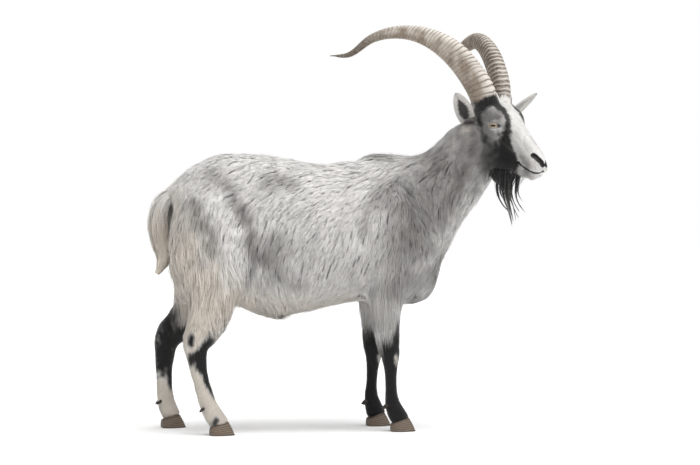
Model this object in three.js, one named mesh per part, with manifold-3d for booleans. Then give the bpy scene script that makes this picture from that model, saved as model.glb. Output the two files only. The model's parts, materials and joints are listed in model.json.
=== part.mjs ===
// A large horned billy goat, standing at rest with its head turned to its right.
//
// Millimetres. +X is forward along the body, +Y is the goat's left and +Z is up; the soles stand on
// Z = 0. The body is one smooth field, built from limbs: chains of oval sections that melt into each
// other, out to the tips of the coat. Each named piece is a stretch of that field, turned into facets and
// parted from its neighbours by thin flat cuts. Horns, ears, tail, beard, claws and dewclaws are lofts
// set into the body, and eyes are balls.

import * as THREE from 'three';
import Module from 'manifold-3d';
import { mergeVertices } from 'three/addons/utils/BufferGeometryUtils.js';

const wasm = await Module();
wasm.setup();

// ---------------------------------------------------------------------------------------------------
// Driving dimensions
// ---------------------------------------------------------------------------------------------------

const GAP = 0.3; // clear space between two neighbouring pieces

// Trunk, rump to chest. Each section: forward place, height of its middle, half height, half width.
const BARREL = [
  [-262, 606, 140, 100],
  [-160, 584, 200, 134],
  [-50, 559, 214, 164],
  [60, 566, 202, 168],
  [170, 581, 194, 152],
  [275, 588, 198, 130],
  [345, 572, 186, 110],
  [397, 560, 150, 86],
];
const BRISKET = [
  [300, 470, 84, 76],
  [390, 440, 54, 52],
];
const SPINE = [
  [-326, 712, 54, 52],
  [-282, 733, 71, 76],
  [-205, 750, 92, 94],
  [-100, 746, 92, 98],
  [0, 730, 93, 98],
  [100, 712, 92, 92],
  [200, 730, 98, 78],
  [288, 749, 99, 60],
  [345, 726, 95, 58],
];

// Underside: the sheath below the belly and the groin between the thighs, in sections like the trunk's.
const SHEATH = [
  [-96, 402, 32, 28],
  [-32, 358, 23, 19],
];
const GROIN = [
  [-322, 500, 70, 60],
  [-312, 402, 46, 46],
];

// Neck, chest to poll. Each section: forward, sideways, height, half depth, half width.
const NECK = [
  [374, 0, 656, 138, 102],
  [430, -6, 707, 127, 90],
  [482, -20, 759, 116, 78],
  [521, -42, 815, 104, 69],
  [551, -62, 870, 93, 62],
];

// Head. A place on the head is told by three lengths from the middle of the forehead between the horns:
// down the face towards the nose, out from the forehead, and to the goat's right.
const POLL = [625, -90, 1011];
const HEAD_TURN = THREE.MathUtils.degToRad(-56); // turned from straight ahead to its right
const HEAD_DROP = THREE.MathUtils.degToRad(44); // face line below level

// Upper face, brow to lips. Each section: down the face, out, half depth, half width.
const FACE = [
  [-26, -72, 50, 50],
  [14, -56, 54, 55],
  [60, -47, 48, 56],
  [110, -45, 46, 45],
  [165, -42, 40, 36],
  [215, -40, 35, 31],
  [250, -40, 33, 29],
  [270, -48, 29, 26],
];
const JAW = [
  [52, -108, 44, 42],
  [104, -120, 44, 36],
  [156, -120, 38, 29],
  [206, -106, 30, 24],
  [252, -80, 22, 21],
  [266, -72, 20, 19],
];
const CHEEK = { at: [78, -88, 24], radii: [52, 46, 24] };
const BROW = { at: [58, -25, 43], radii: [36, 22, 23] };
const ORBIT = { at: [84, -50, 40], radii: [28, 24, 22] };

const EYE = { at: [84, -48, 52], radius: 16 };

// Horn line, from inside the skull to the tip, on the head's three lengths, and its section on the way.
const HORN_LINES = {
  right: [
    [10, -46, 30],
    [-62, -10, 49],
    [-184, 9, 82],
    [-284, -9, 115],
    [-353, -54, 152],
    [-397, -118, 187],
    [-417, -204, 218],
    [-458, -260, 236],
  ],
  left: [
    [10, -46, 30],
    [-62, -1, 45],
    [-174, 21, 73],
    [-272, -2, 104],
    [-326, -69, 133],
    [-358, -133, 168],
    [-378, -162, 194],
    [-418, -184, 222],
  ],
};
const HORN_DEEP = [40, 40, 35, 25, 19.5, 14, 8.5, 1.8]; // half size, front to back
const HORN_WIDE = [26, 27, 24.5, 19.5, 14.5, 10.5, 6.8, 1.6]; // half size, side to side
const HORN_SIDES = 8;
const HORN_RINGS = 19;

// Ear: from its root on the side of the poll to its tip. The hollow faces down the face.
const EAR = {
  root: [3, -107, 60],
  tip: { right: [-17, -10, 172], left: [-22, 5, 176] },
  halfWidth: 31,
  halfRoot: 15,
  halfTip: 2,
  cup: 15,
  wall: 5,
};

// Beard: hangs from the chin. Sections: share of its length, half size fore and aft, half size across.
const BEARD = {
  root: [646, -132, 788],
  tip: [667, -152, 626],
  bow: 12,
  sections: [
    [0, 42, 21],
    [0.2, 45, 22],
    [0.45, 41, 19],
    [0.75, 29, 14],
    [1, 7, 4],
  ],
};

// Tail: hangs clear behind the rump. Sections: forward, height, half depth, half width.
const TAIL = [
  [-346, 718, 24, 24],
  [-384, 703, 27, 30],
  [-411, 666, 27, 35],
  [-417, 615, 27, 36],
  [-405, 555, 23, 31],
  [-398, 505, 15, 21],
  [-406, 468, 3, 5],
];

// Legs. Sections shared by a pair: half depth (fore and aft) and half width of each named place.
const FORE_SIZES = {
  shoulder: [92, 44],
  arm: [84, 46],
  elbow: [66, 44],
  forearm: [47, 37],
  aboveKnee: [35, 29],
  knee: [31, 27],
  belowKnee: [22, 21],
  cannon: [18.5, 18.5],
  fetlock: [27, 25],
  pastern: [30, 28],
  coronet: [34, 29],
};
const HIND_SIZES = {
  hip: [104, 66],
  thigh: [130, 66],
  stifle: [100, 58],
  gaskin: [62, 44],
  hock: [43, 27],
  belowHock: [33, 23],
  cannon: [27, 21],
  fetlock: [29, 25],
  pastern: [31, 28],
  coronet: [33, 29],
};

// Where each place of each leg is: forward, outward from the middle, height.
const FORE_PLACES = {
  right: {
    shoulder: [318, 84, 700],
    arm: [352, 96, 580],
    elbow: [290, 100, 462],
    forearm: [272, 96, 350],
    aboveKnee: [280, 92, 268],
    knee: [289, 90, 226],
    belowKnee: [288, 90, 188],
    cannon: [290, 90, 140],
    fetlock: [293, 91, 80],
    pastern: [308, 92, 52],
    coronet: [324, 92, 22],
  },
  left: {
    shoulder: [318, 84, 700],
    arm: [346, 96, 580],
    elbow: [274, 100, 462],
    forearm: [268, 104, 350],
    aboveKnee: [266, 106, 268],
    knee: [267, 106, 232],
    belowKnee: [264, 107, 190],
    cannon: [261, 108, 140],
    fetlock: [260, 109, 78],
    pastern: [270, 110, 52],
    coronet: [283, 110, 22],
  },
};
const HIND_PLACES = {
  right: {
    hip: [-258, 78, 680],
    thigh: [-266, 98, 566],
    stifle: [-250, 112, 450],
    gaskin: [-260, 126, 346],
    hock: [-301, 138, 278],
    belowHock: [-298, 141, 226],
    cannon: [-289, 144, 170],
    fetlock: [-262, 149, 82],
    pastern: [-244, 150, 52],
    coronet: [-226, 150, 22],
  },
  left: {
    hip: [-258, 78, 680],
    thigh: [-266, 98, 566],
    stifle: [-266, 110, 450],
    gaskin: [-304, 122, 350],
    hock: [-371, 130, 278],
    belowHock: [-378, 132, 226],
    cannon: [-381, 133, 160],
    fetlock: [-376, 135, 84],
    pastern: [-364, 136, 52],
    coronet: [-351, 136, 22],
  },
};

// Claws: two on each foot. The flat soles carry the goat.
const CLAW = {
  length: 74,
  width: 29,
  topWidth: 26.7,
  frontHeight: 36,
  heelHeight: 21,
  lean: 17,
  cleft: 5,
};
// Outline of a sole: shares of its length back from the toe, and of its width out from the cleft.
const SOLE = [
  [0, 0.06],
  [0.1, 0.42],
  [0.34, 0.82],
  [0.66, 1],
  [0.92, 0.84],
  [1, 0.45],
  [0.97, 0.08],
  [0.5, 0],
];
const TOES = {
  fore_right: { at: [364, -92], turn: -4 },
  fore_left: { at: [320, 110], turn: 3 },
  hind_right: { at: [-187, -150], turn: -6 },
  hind_left: { at: [-314, 136], turn: 6 },
};
const DEWCLAW = { length: 24, drop: 19, radius: 10, spread: 13, setBack: 13 };

// Facet sizes of the stretches of the body: forward, sideways and upward.
const TRUNK_FACETS = [52, 42, 48];
const NECK_FACETS = [38, 33, 38];
const HEAD_FACETS = [17, 17, 17];
const THIGH_FACETS = [37, 33, 40];
const FOREARM_FACETS = [23, 20, 34];
const SHANK_FACETS = [19, 17, 36];

// ---------------------------------------------------------------------------------------------------
// Finishes
// ---------------------------------------------------------------------------------------------------

const finish = (color, roughness) => new THREE.MeshStandardMaterial({ color, roughness, metalness: 0 });
const PALE_COAT = finish('#c9c6c1', 0.9);
const GREY_COAT = finish('#a5a29e', 0.9);
const CREAM_COAT = finish('#c8beb0', 0.9);
const BLACK_COAT = finish('#242322', 0.88);
const HORN = finish('#b0a699', 0.55);
const HOOF = finish('#877869', 0.6);
const EYE_GLOSS = finish('#b99a62', 0.12);

// ---------------------------------------------------------------------------------------------------
// The head's own frame
// ---------------------------------------------------------------------------------------------------

const poll = new THREE.Vector3(...POLL);
const ahead = new THREE.Vector3(Math.cos(HEAD_TURN), Math.sin(HEAD_TURN), 0);
const upward = new THREE.Vector3(0, 0, 1);
const toRight = new THREE.Vector3().crossVectors(ahead, upward);
const downFace = ahead.clone().applyAxisAngle(toRight, -HEAD_DROP);
const outFace = upward.clone().applyAxisAngle(toRight, -HEAD_DROP);

/** A place on the head, as a point of the whole goat. */
function onHead([down, out, right]) {
  const point = poll.clone().addScaledVector(downFace, down);
  return point.addScaledVector(outFace, out).addScaledVector(toRight, right);
}

/** A direction told in the head's three lengths, as a direction of the whole goat. */
function alongHead([down, out, right]) {
  return onHead([down, out, right]).sub(poll).normalize();
}

/** The same place on the other half of the head. */
const otherHalf = ([down, out, right]) => [down, out, -right];

// ---------------------------------------------------------------------------------------------------
// Limbs: chains of oval sections, as a distance field
// ---------------------------------------------------------------------------------------------------

const STRETCHES_PER_SECTION = 3;
const END_ROUNDNESS = 0.9;

/** A chain of sections { at, deep, wide }, cut into short straight stretches on a smooth line. */
function limb(sections, across, blend) {
  const line = new THREE.CatmullRomCurve3(sections.map((section) => section.at), false, 'centripetal');
  const count = (sections.length - 1) * STRETCHES_PER_SECTION;
  const size = (key, share) => {
    const place = share * (sections.length - 1);
    const low = Math.min(Math.floor(place), sections.length - 2);
    return THREE.MathUtils.lerp(sections[low][key], sections[low + 1][key], place - low);
  };
  const stretches = [];
  const reach = new THREE.Box3();
  for (let i = 0; i < count; i += 1) {
    const from = line.getPoint(i / count);
    const to = line.getPoint((i + 1) / count);
    const run = to.clone().sub(from);
    const axis = run.clone().normalize();
    const side = across.clone().addScaledVector(axis, -across.dot(axis)).normalize();
    stretches.push({
      from,
      run,
      axis,
      side,
      face: new THREE.Vector3().crossVectors(axis, side),
      lengthSquared: run.lengthSq(),
      deep: [size('deep', i / count), size('deep', (i + 1) / count)],
      wide: [size('wide', i / count), size('wide', (i + 1) / count)],
    });
  }
  sections.forEach((section) => {
    const ball = new THREE.Vector3().setScalar(Math.max(section.deep, section.wide));
    reach.expandByPoint(section.at.clone().add(ball));
    reach.expandByPoint(section.at.clone().sub(ball));
  });
  return { blend, reach, distance: (point) => chainDistance(stretches, point) };
}

/** Distance from a point to an oval ball with its three half sizes along its own axes. */
function ovalDistance(x, y, z, a, b, c) {
  const near = Math.hypot(x / a, y / b, z / c);
  const slope = Math.hypot(x / (a * a), y / (b * b), z / (c * c));
  return slope < 1e-9 ? -Math.min(a, b, c) : (near * (near - 1)) / slope;
}

const offset = new THREE.Vector3();

function chainDistance(stretches, point) {
  let best = Infinity;
  for (const stretch of stretches) {
    offset.subVectors(point, stretch.from);
    const share = THREE.MathUtils.clamp(offset.dot(stretch.run) / stretch.lengthSquared, 0, 1);
    offset.addScaledVector(stretch.run, -share);
    const deep = THREE.MathUtils.lerp(stretch.deep[0], stretch.deep[1], share);
    const wide = THREE.MathUtils.lerp(stretch.wide[0], stretch.wide[1], share);
    const end = END_ROUNDNESS * Math.min(deep, wide);
    const place = [stretch.axis, stretch.side, stretch.face].map((direction) => offset.dot(direction));
    best = Math.min(best, ovalDistance(...place, end, wide, deep));
  }
  return best;
}

/** A single oval ball on the head, with half sizes on the head's three lengths. */
function lump({ at, radii }, blend) {
  const centre = onHead(at);
  const size = new THREE.Vector3().setScalar(2 * Math.max(...radii));
  const reach = new THREE.Box3().setFromCenterAndSize(centre, size);
  const distance = (point) => {
    offset.subVectors(point, centre);
    return ovalDistance(offset.dot(downFace), offset.dot(outFace), offset.dot(toRight), ...radii);
  };
  return { blend, reach, distance };
}

/** Two distances melted together over a width. */
function melt(a, b, width) {
  const share = Math.max(width - Math.abs(a - b), 0) / width;
  return Math.min(a, b) - (share * share * width) / 4;
}

/** The field of a set of limbs: below zero inside, above zero outside. */
function field(limbs) {
  return (point) => {
    let near = Infinity;
    for (const part of limbs) {
      if (part.reach.distanceToPoint(point) < near + part.blend) {
        const distance = part.distance(point);
        near = near === Infinity ? distance : melt(near, distance, part.blend);
      }
    }
    return near;
  };
}

// ---------------------------------------------------------------------------------------------------
// The body
// ---------------------------------------------------------------------------------------------------

const SIDEWAYS = new THREE.Vector3(0, 1, 0);
const TRUNK_BLEND = 60;
const LEG_BLEND = 42;
const SHEATH_BLEND = 30;
const HEAD_BLEND = 18;

const trunkSection = ([x, z, deep, wide]) => ({ at: new THREE.Vector3(x, 0, z), deep, wide });
const neckSection = ([x, y, z, deep, wide]) => ({ at: new THREE.Vector3(x, y, z), deep, wide });
const headSection = ([down, out, deep, wide]) => ({ at: onHead([down, out, 0]), deep, wide });

function legLimb(places, sizes, side) {
  const outward = side === 'right' ? -1 : 1;
  const sections = Object.entries(places).map(([name, [x, y, z]]) => ({
    at: new THREE.Vector3(x, outward * y, z),
    deep: sizes[name][0],
    wide: sizes[name][1],
  }));
  return limb(sections, SIDEWAYS, LEG_BLEND);
}

function headLimbs() {
  const limbs = [FACE, JAW].map((sections) => limb(sections.map(headSection), toRight, HEAD_BLEND));
  for (const ball of [CHEEK, BROW, ORBIT]) {
    limbs.push(lump(ball, HEAD_BLEND));
    limbs.push(lump({ at: otherHalf(ball.at), radii: ball.radii }, HEAD_BLEND));
  }
  return limbs;
}

const body = field([
  limb(BARREL.map(trunkSection), SIDEWAYS, TRUNK_BLEND),
  limb(BRISKET.map(trunkSection), SIDEWAYS, TRUNK_BLEND),
  limb(SPINE.map(trunkSection), SIDEWAYS, TRUNK_BLEND),
  limb(NECK.map(neckSection), SIDEWAYS, TRUNK_BLEND),
  limb(SHEATH.map(trunkSection), SIDEWAYS, SHEATH_BLEND),
  limb(GROIN.map(trunkSection), SIDEWAYS, LEG_BLEND),
  legLimb(FORE_PLACES.right, FORE_SIZES, 'right'),
  legLimb(FORE_PLACES.left, FORE_SIZES, 'left'),
  legLimb(HIND_PLACES.right, HIND_SIZES, 'right'),
  legLimb(HIND_PLACES.left, HIND_SIZES, 'left'),
  ...headLimbs(),
]);

// ---------------------------------------------------------------------------------------------------
// Facets: a field inside a box becomes a closed mesh
// ---------------------------------------------------------------------------------------------------

const SETTLE_STEPS = 3; // how often a corner is moved onto the true surface
const PROBE = 0.5; // step for measuring the field's slope

const CORNERS = [0, 1, 2, 3, 4, 5, 6, 7].map((i) => [i & 1, (i >> 1) & 1, (i >> 2) & 1]);
const CELL_EDGES = CORNERS.flatMap((from, i) =>
  [0, 1, 2].filter((axis) => from[axis] === 0).map((axis) => [i, i | (1 << axis)]),
);

/** Distance from a point to a box, below zero inside. */
function boxDistance(box, point) {
  const past = (axis) => Math.max(box.min[axis] - point[axis], point[axis] - box.max[axis]);
  return Math.max(past('x'), past('y'), past('z'));
}

/** Move a corner onto the surface, by no more than half a facet. */
function settle(shape, point, reach) {
  const start = point.clone();
  const probe = new THREE.Vector3();
  for (let i = 0; i < SETTLE_STEPS; i += 1) {
    const here = shape(point);
    const slope = new THREE.Vector3();
    for (const axis of ['x', 'y', 'z']) {
      probe.copy(point);
      probe[axis] += PROBE;
      slope[axis] = (shape(probe) - here) / PROBE;
    }
    point.addScaledVector(slope, -here / Math.max(slope.lengthSq(), 0.1));
  }
  const moved = point.clone().sub(start);
  return start.add(moved.clampLength(0, reach));
}

/** The surface of a field inside a box, as a closed triangle mesh with facets of about the given size. */
function facets(shape, box, size) {
  const extent = box.getSize(new THREE.Vector3()).toArray();
  const count = extent.map((length, i) => Math.ceil(length / size[i]) + 3);
  const closed = (point) => Math.max(shape(point), boxDistance(box, point));
  const spacing = new THREE.Vector3(...size);
  const place = (i, j, k) => new THREE.Vector3(i - 1, j - 1, k - 1).multiply(spacing).add(box.min);
  const index = (i, j, k) => i + count[0] * (j + count[1] * k);
  const value = new Float32Array(count[0] * count[1] * count[2]);
  for (let k = 0; k < count[2]; k += 1) {
    for (let j = 0; j < count[1]; j += 1) {
      for (let i = 0; i < count[0]; i += 1) value[index(i, j, k)] = closed(place(i, j, k));
    }
  }

  const corner = new Int32Array(value.length).fill(-1);
  const positions = [];
  const cellCorner = (i, j, k) => {
    const sum = new THREE.Vector3();
    let crossings = 0;
    for (const [from, to] of CELL_EDGES) {
      const a = CORNERS[from];
      const b = CORNERS[to];
      const low = value[index(i + a[0], j + a[1], k + a[2])];
      const high = value[index(i + b[0], j + b[1], k + b[2])];
      if (low < 0 !== high < 0) {
        const start = place(i + a[0], j + a[1], k + a[2]);
        sum.add(start.lerp(place(i + b[0], j + b[1], k + b[2]), low / (low - high)));
        crossings += 1;
      }
    }
    if (crossings === 0) return;
    const settled = settle(closed, sum.divideScalar(crossings), Math.min(...size) / 2);
    corner[index(i, j, k)] = positions.length / 3;
    positions.push(settled.x, settled.y, settled.z);
  };
  for (let k = 0; k < count[2] - 1; k += 1) {
    for (let j = 0; j < count[1] - 1; j += 1) {
      for (let i = 0; i < count[0] - 1; i += 1) cellCorner(i, j, k);
    }
  }

  const at = (n) => new THREE.Vector3().fromArray(positions, 3 * n);
  const triangles = [];
  const quad = (a, b, c, d, flip) => {
    const round = flip ? [a, d, c, b] : [a, b, c, d];
    const points = round.map(at);
    const shortFirst = points[0].distanceTo(points[2]) <= points[1].distanceTo(points[3]);
    const order = shortFirst ? [0, 1, 2, 0, 2, 3] : [1, 2, 3, 1, 3, 0];
    triangles.push(...order.map((n) => round[n]));
  };
  const STEPS = [
    [1, 0, 0],
    [0, 1, 0],
    [0, 0, 1],
  ];
  for (let k = 1; k < count[2] - 1; k += 1) {
    for (let j = 1; j < count[1] - 1; j += 1) {
      for (let i = 1; i < count[0] - 1; i += 1) {
        const here = value[index(i, j, k)] < 0;
        STEPS.forEach((step, axis) => {
          const there = value[index(i + step[0], j + step[1], k + step[2])] < 0;
          if (here === there) return;
          const u = STEPS[(axis + 1) % 3];
          const v = STEPS[(axis + 2) % 3];
          const cell = (m, n) =>
            corner[index(i - m * u[0] - n * v[0], j - m * u[1] - n * v[1], k - m * u[2] - n * v[2])];
          quad(cell(0, 0), cell(1, 0), cell(1, 1), cell(0, 1), !here);
        });
      }
    }
  }
  return asSolid(positions, triangles);
}

// ---------------------------------------------------------------------------------------------------
// Solids
// ---------------------------------------------------------------------------------------------------

function asSolid(positions, triangles) {
  const mesh = new wasm.Mesh({
    numProp: 3,
    vertProperties: new Float32Array(positions),
    triVerts: new Uint32Array(triangles),
  });
  mesh.merge();
  return new wasm.Manifold(mesh);
}

/** A three.js geometry as a solid. */
function solidOf(geometry) {
  const bare = geometry.index ? geometry.clone() : mergeVertices(geometry);
  bare.deleteAttribute('normal');
  bare.deleteAttribute('uv');
  const merged = mergeVertices(bare, 1e-4);
  return asSolid(merged.attributes.position.array, merged.index.array);
}

const WELD = 0.002; // corners nearer to each other than this become one

/** A solid as a three.js geometry, with its corners welded and the triangles that vanish left out. */
function geometryOf(solid) {
  const mesh = solid.getMesh();
  const cut = new THREE.BufferGeometry();
  cut.setAttribute('position', new THREE.BufferAttribute(mesh.vertProperties.slice(), 3));
  cut.setIndex(new THREE.BufferAttribute(mesh.triVerts.slice(), 1));
  const geometry = mergeVertices(cut, WELD);
  const corners = geometry.index.array;
  const kept = [];
  for (let i = 0; i < corners.length; i += 3) {
    const [a, b, c] = corners.slice(i, i + 3);
    if (a !== b && b !== c && c !== a) kept.push(a, b, c);
  }
  geometry.setIndex(kept);
  geometry.computeVertexNormals();
  return geometry;
}

const CUTTER = 3000; // larger than the goat

/** The part of a solid on the side of a cut that its direction points to, half a gap away from it. */
function keep(solid, { point, direction }) {
  const side = direction.clone().normalize();
  const block = new THREE.BoxGeometry(CUTTER, CUTTER, CUTTER);
  block.applyQuaternion(new THREE.Quaternion().setFromUnitVectors(upward, side));
  const middle = point.clone().addScaledVector(side, GAP / 2 - CUTTER / 2);
  block.translate(middle.x, middle.y, middle.z);
  return solid.subtract(solidOf(block));
}

/** The largest closed body of a solid that fell into several. */
function largest(solid) {
  const bodies = solid.decompose();
  return bodies.reduce((best, next) => (next.volume() > best.volume() ? next : best));
}

/** A stretch of the body inside a box, kept on one side of each cut. */
function stretch(low, high, size, cuts) {
  const box = new THREE.Box3(new THREE.Vector3(...low), new THREE.Vector3(...high));
  const whole = facets(body, box, size);
  return largest(cuts.reduce(keep, whole));
}

/** A closed loft over rings of points that all have the same count. */
function loft(rings) {
  const sides = rings[0].length;
  const positions = rings.flat().flatMap((point) => point.toArray());
  const triangles = [];
  for (let ring = 0; ring < rings.length - 1; ring += 1) {
    for (let side = 0; side < sides; side += 1) {
      const next = (side + 1) % sides;
      const low = ring * sides;
      const high = low + sides;
      triangles.push(low + side, low + next, high + next, low + side, high + next, high + side);
    }
  }
  const last = (rings.length - 1) * sides;
  for (let side = 1; side < sides - 1; side += 1) {
    triangles.push(0, side + 1, side);
    triangles.push(last, last + side, last + side + 1);
  }
  const solid = asSolid(positions, triangles);
  return solid.volume() > 0 ? solid : asSolid(positions, triangles.reverse());
}

/** An oval ring round a point, across two directions, with its two half sizes. */
function ovalRing(centre, first, second, firstSize, secondSize, sides) {
  return Array.from({ length: sides }, (_, i) => {
    const angle = (2 * Math.PI * (i + 0.5)) / sides;
    const point = centre.clone().addScaledVector(first, firstSize * Math.cos(angle));
    return point.addScaledVector(second, secondSize * Math.sin(angle));
  });
}

/** A tapering sweep of oval sections. The same sweep grown by a gap cuts its seat in a neighbour. */
function sweep(sections, across, rings, sides, grow = 0) {
  const line = new THREE.CatmullRomCurve3(sections.map((section) => section.at), false, 'centripetal');
  const last = sections.length - 1;
  const size = (key, share) => {
    const low = Math.min(Math.floor(share * last), last - 1);
    return THREE.MathUtils.lerp(sections[low][key], sections[low + 1][key], share * last - low);
  };
  const loops = [];
  for (let i = 0; i < rings; i += 1) {
    const share = i / (rings - 1);
    const axis = line.getTangent(share);
    const side = across.clone().addScaledVector(axis, -across.dot(axis)).normalize();
    const face = new THREE.Vector3().crossVectors(axis, side);
    const centre = line.getPoint(share);
    if (i === 0) centre.addScaledVector(axis, -grow);
    if (i === rings - 1) centre.addScaledVector(axis, grow);
    const wide = size('wide', share) + grow;
    const deep = size('deep', share) + grow;
    loops.push(ovalRing(centre, side, face, wide, deep, sides));
  }
  return loft(loops);
}

// ---------------------------------------------------------------------------------------------------
// Horns, eyes, ears, beard and tail
// ---------------------------------------------------------------------------------------------------

const SIDES = ['right', 'left'];
const halfOf = (side) => (side === 'right' ? (place) => place : otherHalf);

function hornSolid(side, grow = 0) {
  const half = halfOf(side);
  const sections = HORN_LINES[side].map((place, i) => ({
    at: onHead(half(place)),
    deep: HORN_DEEP[i],
    wide: HORN_WIDE[i],
  }));
  return sweep(sections, alongHead(half([0.12, 0.3, 1])), HORN_RINGS, HORN_SIDES, grow);
}

const EYE_FACETS = [12, 7];

function eyeSolid(side, grow = 0) {
  const centre = onHead(halfOf(side)(EYE.at));
  const ball = new THREE.SphereGeometry(EYE.radius + grow, ...EYE_FACETS);
  ball.translate(centre.x, centre.y, centre.z);
  return solidOf(ball);
}

/** An ear: a leaf bent to a trough, thick at the root, with both edges meeting at the tip. */
function earSolid(side, grow = 0) {
  const half = halfOf(side);
  const root = onHead(half(EAR.root));
  const tip = onHead(half(EAR.tip[side]));
  const axis = tip.clone().sub(root).normalize();
  const hollow = downFace.clone().addScaledVector(axis, -downFace.dot(axis)).normalize();
  const edge = new THREE.Vector3().crossVectors(axis, hollow);
  const rings = 8;
  const bends = 4;
  const loops = [];
  for (let i = 0; i < rings; i += 1) {
    const share = i / (rings - 1);
    const leaf = Math.sin(Math.PI * Math.pow(share, 0.72)) ** 0.8;
    const narrow = THREE.MathUtils.lerp(EAR.halfRoot, EAR.halfTip, share);
    const halfWidth = THREE.MathUtils.lerp(narrow, EAR.halfWidth, leaf) + grow;
    const cup = EAR.cup * (0.35 + 0.65 * leaf) * (1 - 0.75 * share);
    const wall = THREE.MathUtils.lerp(EAR.wall * 1.8, EAR.wall * 0.5, share) / 2;
    const centre = root.clone().lerp(tip, share);
    if (i === 0) centre.addScaledVector(axis, -grow);
    if (i === rings - 1) centre.addScaledVector(axis, grow);
    const row = (sign) =>
      Array.from({ length: bends + 1 }, (_, n) => {
        const across = (2 * n) / bends - 1;
        const depth = cup * (across * across - 0.5) + sign * (wall * (1 - 0.6 * across * across) + grow);
        return centre.clone().addScaledVector(edge, across * halfWidth).addScaledVector(hollow, depth);
      });
    loops.push([...row(-1), ...row(1).reverse()]);
  }
  return loft(loops);
}

function beardSolid(grow = 0) {
  const root = new THREE.Vector3(...BEARD.root);
  const tip = new THREE.Vector3(...BEARD.tip);
  const sections = BEARD.sections.map(([share, deep, wide]) => ({
    at: root.clone().lerp(tip, share).addScaledVector(ahead, -BEARD.bow * Math.sin(Math.PI * share)),
    deep,
    wide,
  }));
  return sweep(sections, toRight, 9, 8, grow);
}

function tailSolid(grow = 0) {
  return sweep(TAIL.map(trunkSection), SIDEWAYS, 12, 8, grow);
}

// ---------------------------------------------------------------------------------------------------
// Feet
// ---------------------------------------------------------------------------------------------------

/** The middle of a fetlock, from its place told outward from the middle of the goat. */
const fetlockOf = ({ fetlock: [x, y, z] }, outward) => new THREE.Vector3(x, outward * y, z);
const FETLOCKS = {
  fore_right: fetlockOf(FORE_PLACES.right, -1),
  fore_left: fetlockOf(FORE_PLACES.left, 1),
  hind_right: fetlockOf(HIND_PLACES.right, -1),
  hind_left: fetlockOf(HIND_PLACES.left, 1),
};

/** The frame of a foot: its toe on the ground, the way it points and the way outward from its cleft. */
function footFrame(foot) {
  const { at, turn } = TOES[foot];
  const angle = THREE.MathUtils.degToRad(turn);
  return {
    toe: new THREE.Vector3(at[0], at[1], 0),
    forward: new THREE.Vector3(Math.cos(angle), Math.sin(angle), 0),
    outward: new THREE.Vector3(-Math.sin(angle), Math.cos(angle), 0),
  };
}

/** The sloping plane on top of a foot's claws, where the skin ends. */
function coronet(foot) {
  const { toe, forward } = footFrame(foot);
  const fall = (CLAW.frontHeight - CLAW.heelHeight) / (CLAW.length - CLAW.lean);
  const point = toe.clone().addScaledVector(forward, -CLAW.lean);
  point.z = CLAW.frontHeight + GAP;
  return { point, direction: forward.clone().multiplyScalar(-fall).add(upward) };
}

/** One claw: a flat sole that runs to a point in front, and a wall that leans in up to the coronet. */
function clawSolid(foot, outer) {
  const { toe, forward, outward } = footFrame(foot);
  const side = outer ? 1 : -1;
  const ring = (lean, width) =>
    SOLE.map(([back, across]) => {
      const point = toe.clone().addScaledVector(forward, -back * CLAW.length - lean * (1 - back));
      return point.addScaledVector(outward, side * (CLAW.cleft / 2 + across * width));
    });
  const top = ring(CLAW.lean, CLAW.topWidth);
  const { point, direction } = coronet(foot);
  top.forEach((corner) => {
    corner.z = direction.dot(point.clone().sub(corner)) / direction.z - GAP;
  });
  return loft([ring(0, CLAW.width), top]);
}

/** A dewclaw: a short blunt cone behind the fetlock, pointing back and down. */
function dewclawSolid(foot, outer, grow = 0) {
  const { forward, outward } = footFrame(foot);
  const side = outer ? 1 : -1;
  const root = FETLOCKS[foot].clone().addScaledVector(forward, -DEWCLAW.setBack);
  root.addScaledVector(outward, side * DEWCLAW.spread);
  const tip = root.clone().addScaledVector(forward, -DEWCLAW.length);
  tip.z -= DEWCLAW.drop;
  const sections = [0, 0.5, 1].map((share) => ({
    at: root.clone().lerp(tip, share),
    deep: DEWCLAW.radius * (1 - 0.7 * share * share),
    wide: DEWCLAW.radius * (1 - 0.6 * share * share),
  }));
  return sweep(sections, outward, 3, 5, grow);
}

// ---------------------------------------------------------------------------------------------------
// Pieces
// ---------------------------------------------------------------------------------------------------

const goat = new THREE.Group();

function add(name, solid, material) {
  const mesh = new THREE.Mesh(geometryOf(solid), material);
  mesh.name = name;
  goat.add(mesh);
}

/** A solid less the grown copies of what is set into it. */
const seated = (solid, guests) => largest(guests.reduce((left, guest) => left.subtract(guest), solid));

const cut = (x, y, z, direction) => ({
  point: new THREE.Vector3(x, y, z),
  direction: new THREE.Vector3(...direction),
});
const opposite = ({ point, direction }) => ({ point, direction: direction.clone().negate() });

// Cuts between the pieces. Each direction points to the piece that comes second in the cut's name.
const neckToHead = { point: onHead([-34, -105, 0]), direction: ahead };
const throatToHead = cut(585, -35, 752, [0.19, -0.28, 0.94]);
const chestToNeck = cut(424, 0, 700, [0.85, -0.1, 0.52]);
const barrelToChest = cut(205, 0, 0, [1, 0, 0]);
const rumpToBarrel = cut(-138, 0, 0, [1, 0, 0]);
const thighToRump = cut(-240, 0, 486, [0.5, 0, 0.87]);
const foreToChest = cut(0, 0, 386, [0, 0, 1]);
const kneeCut = cut(0, 0, 226, [0, 0, 1]);
const hockCuts = {
  right: cut(-285, 0, 318, [0.35, 0, 0.94]),
  left: cut(-352, 0, 322, [0.35, 0, 0.94]),
};
const midline = cut(0, 0, 0, [0, 1, 0]);
const jawToHead = { point: onHead([213, -77, 0]), direction: alongHead([-0.42, 0.9, 0]) };

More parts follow.
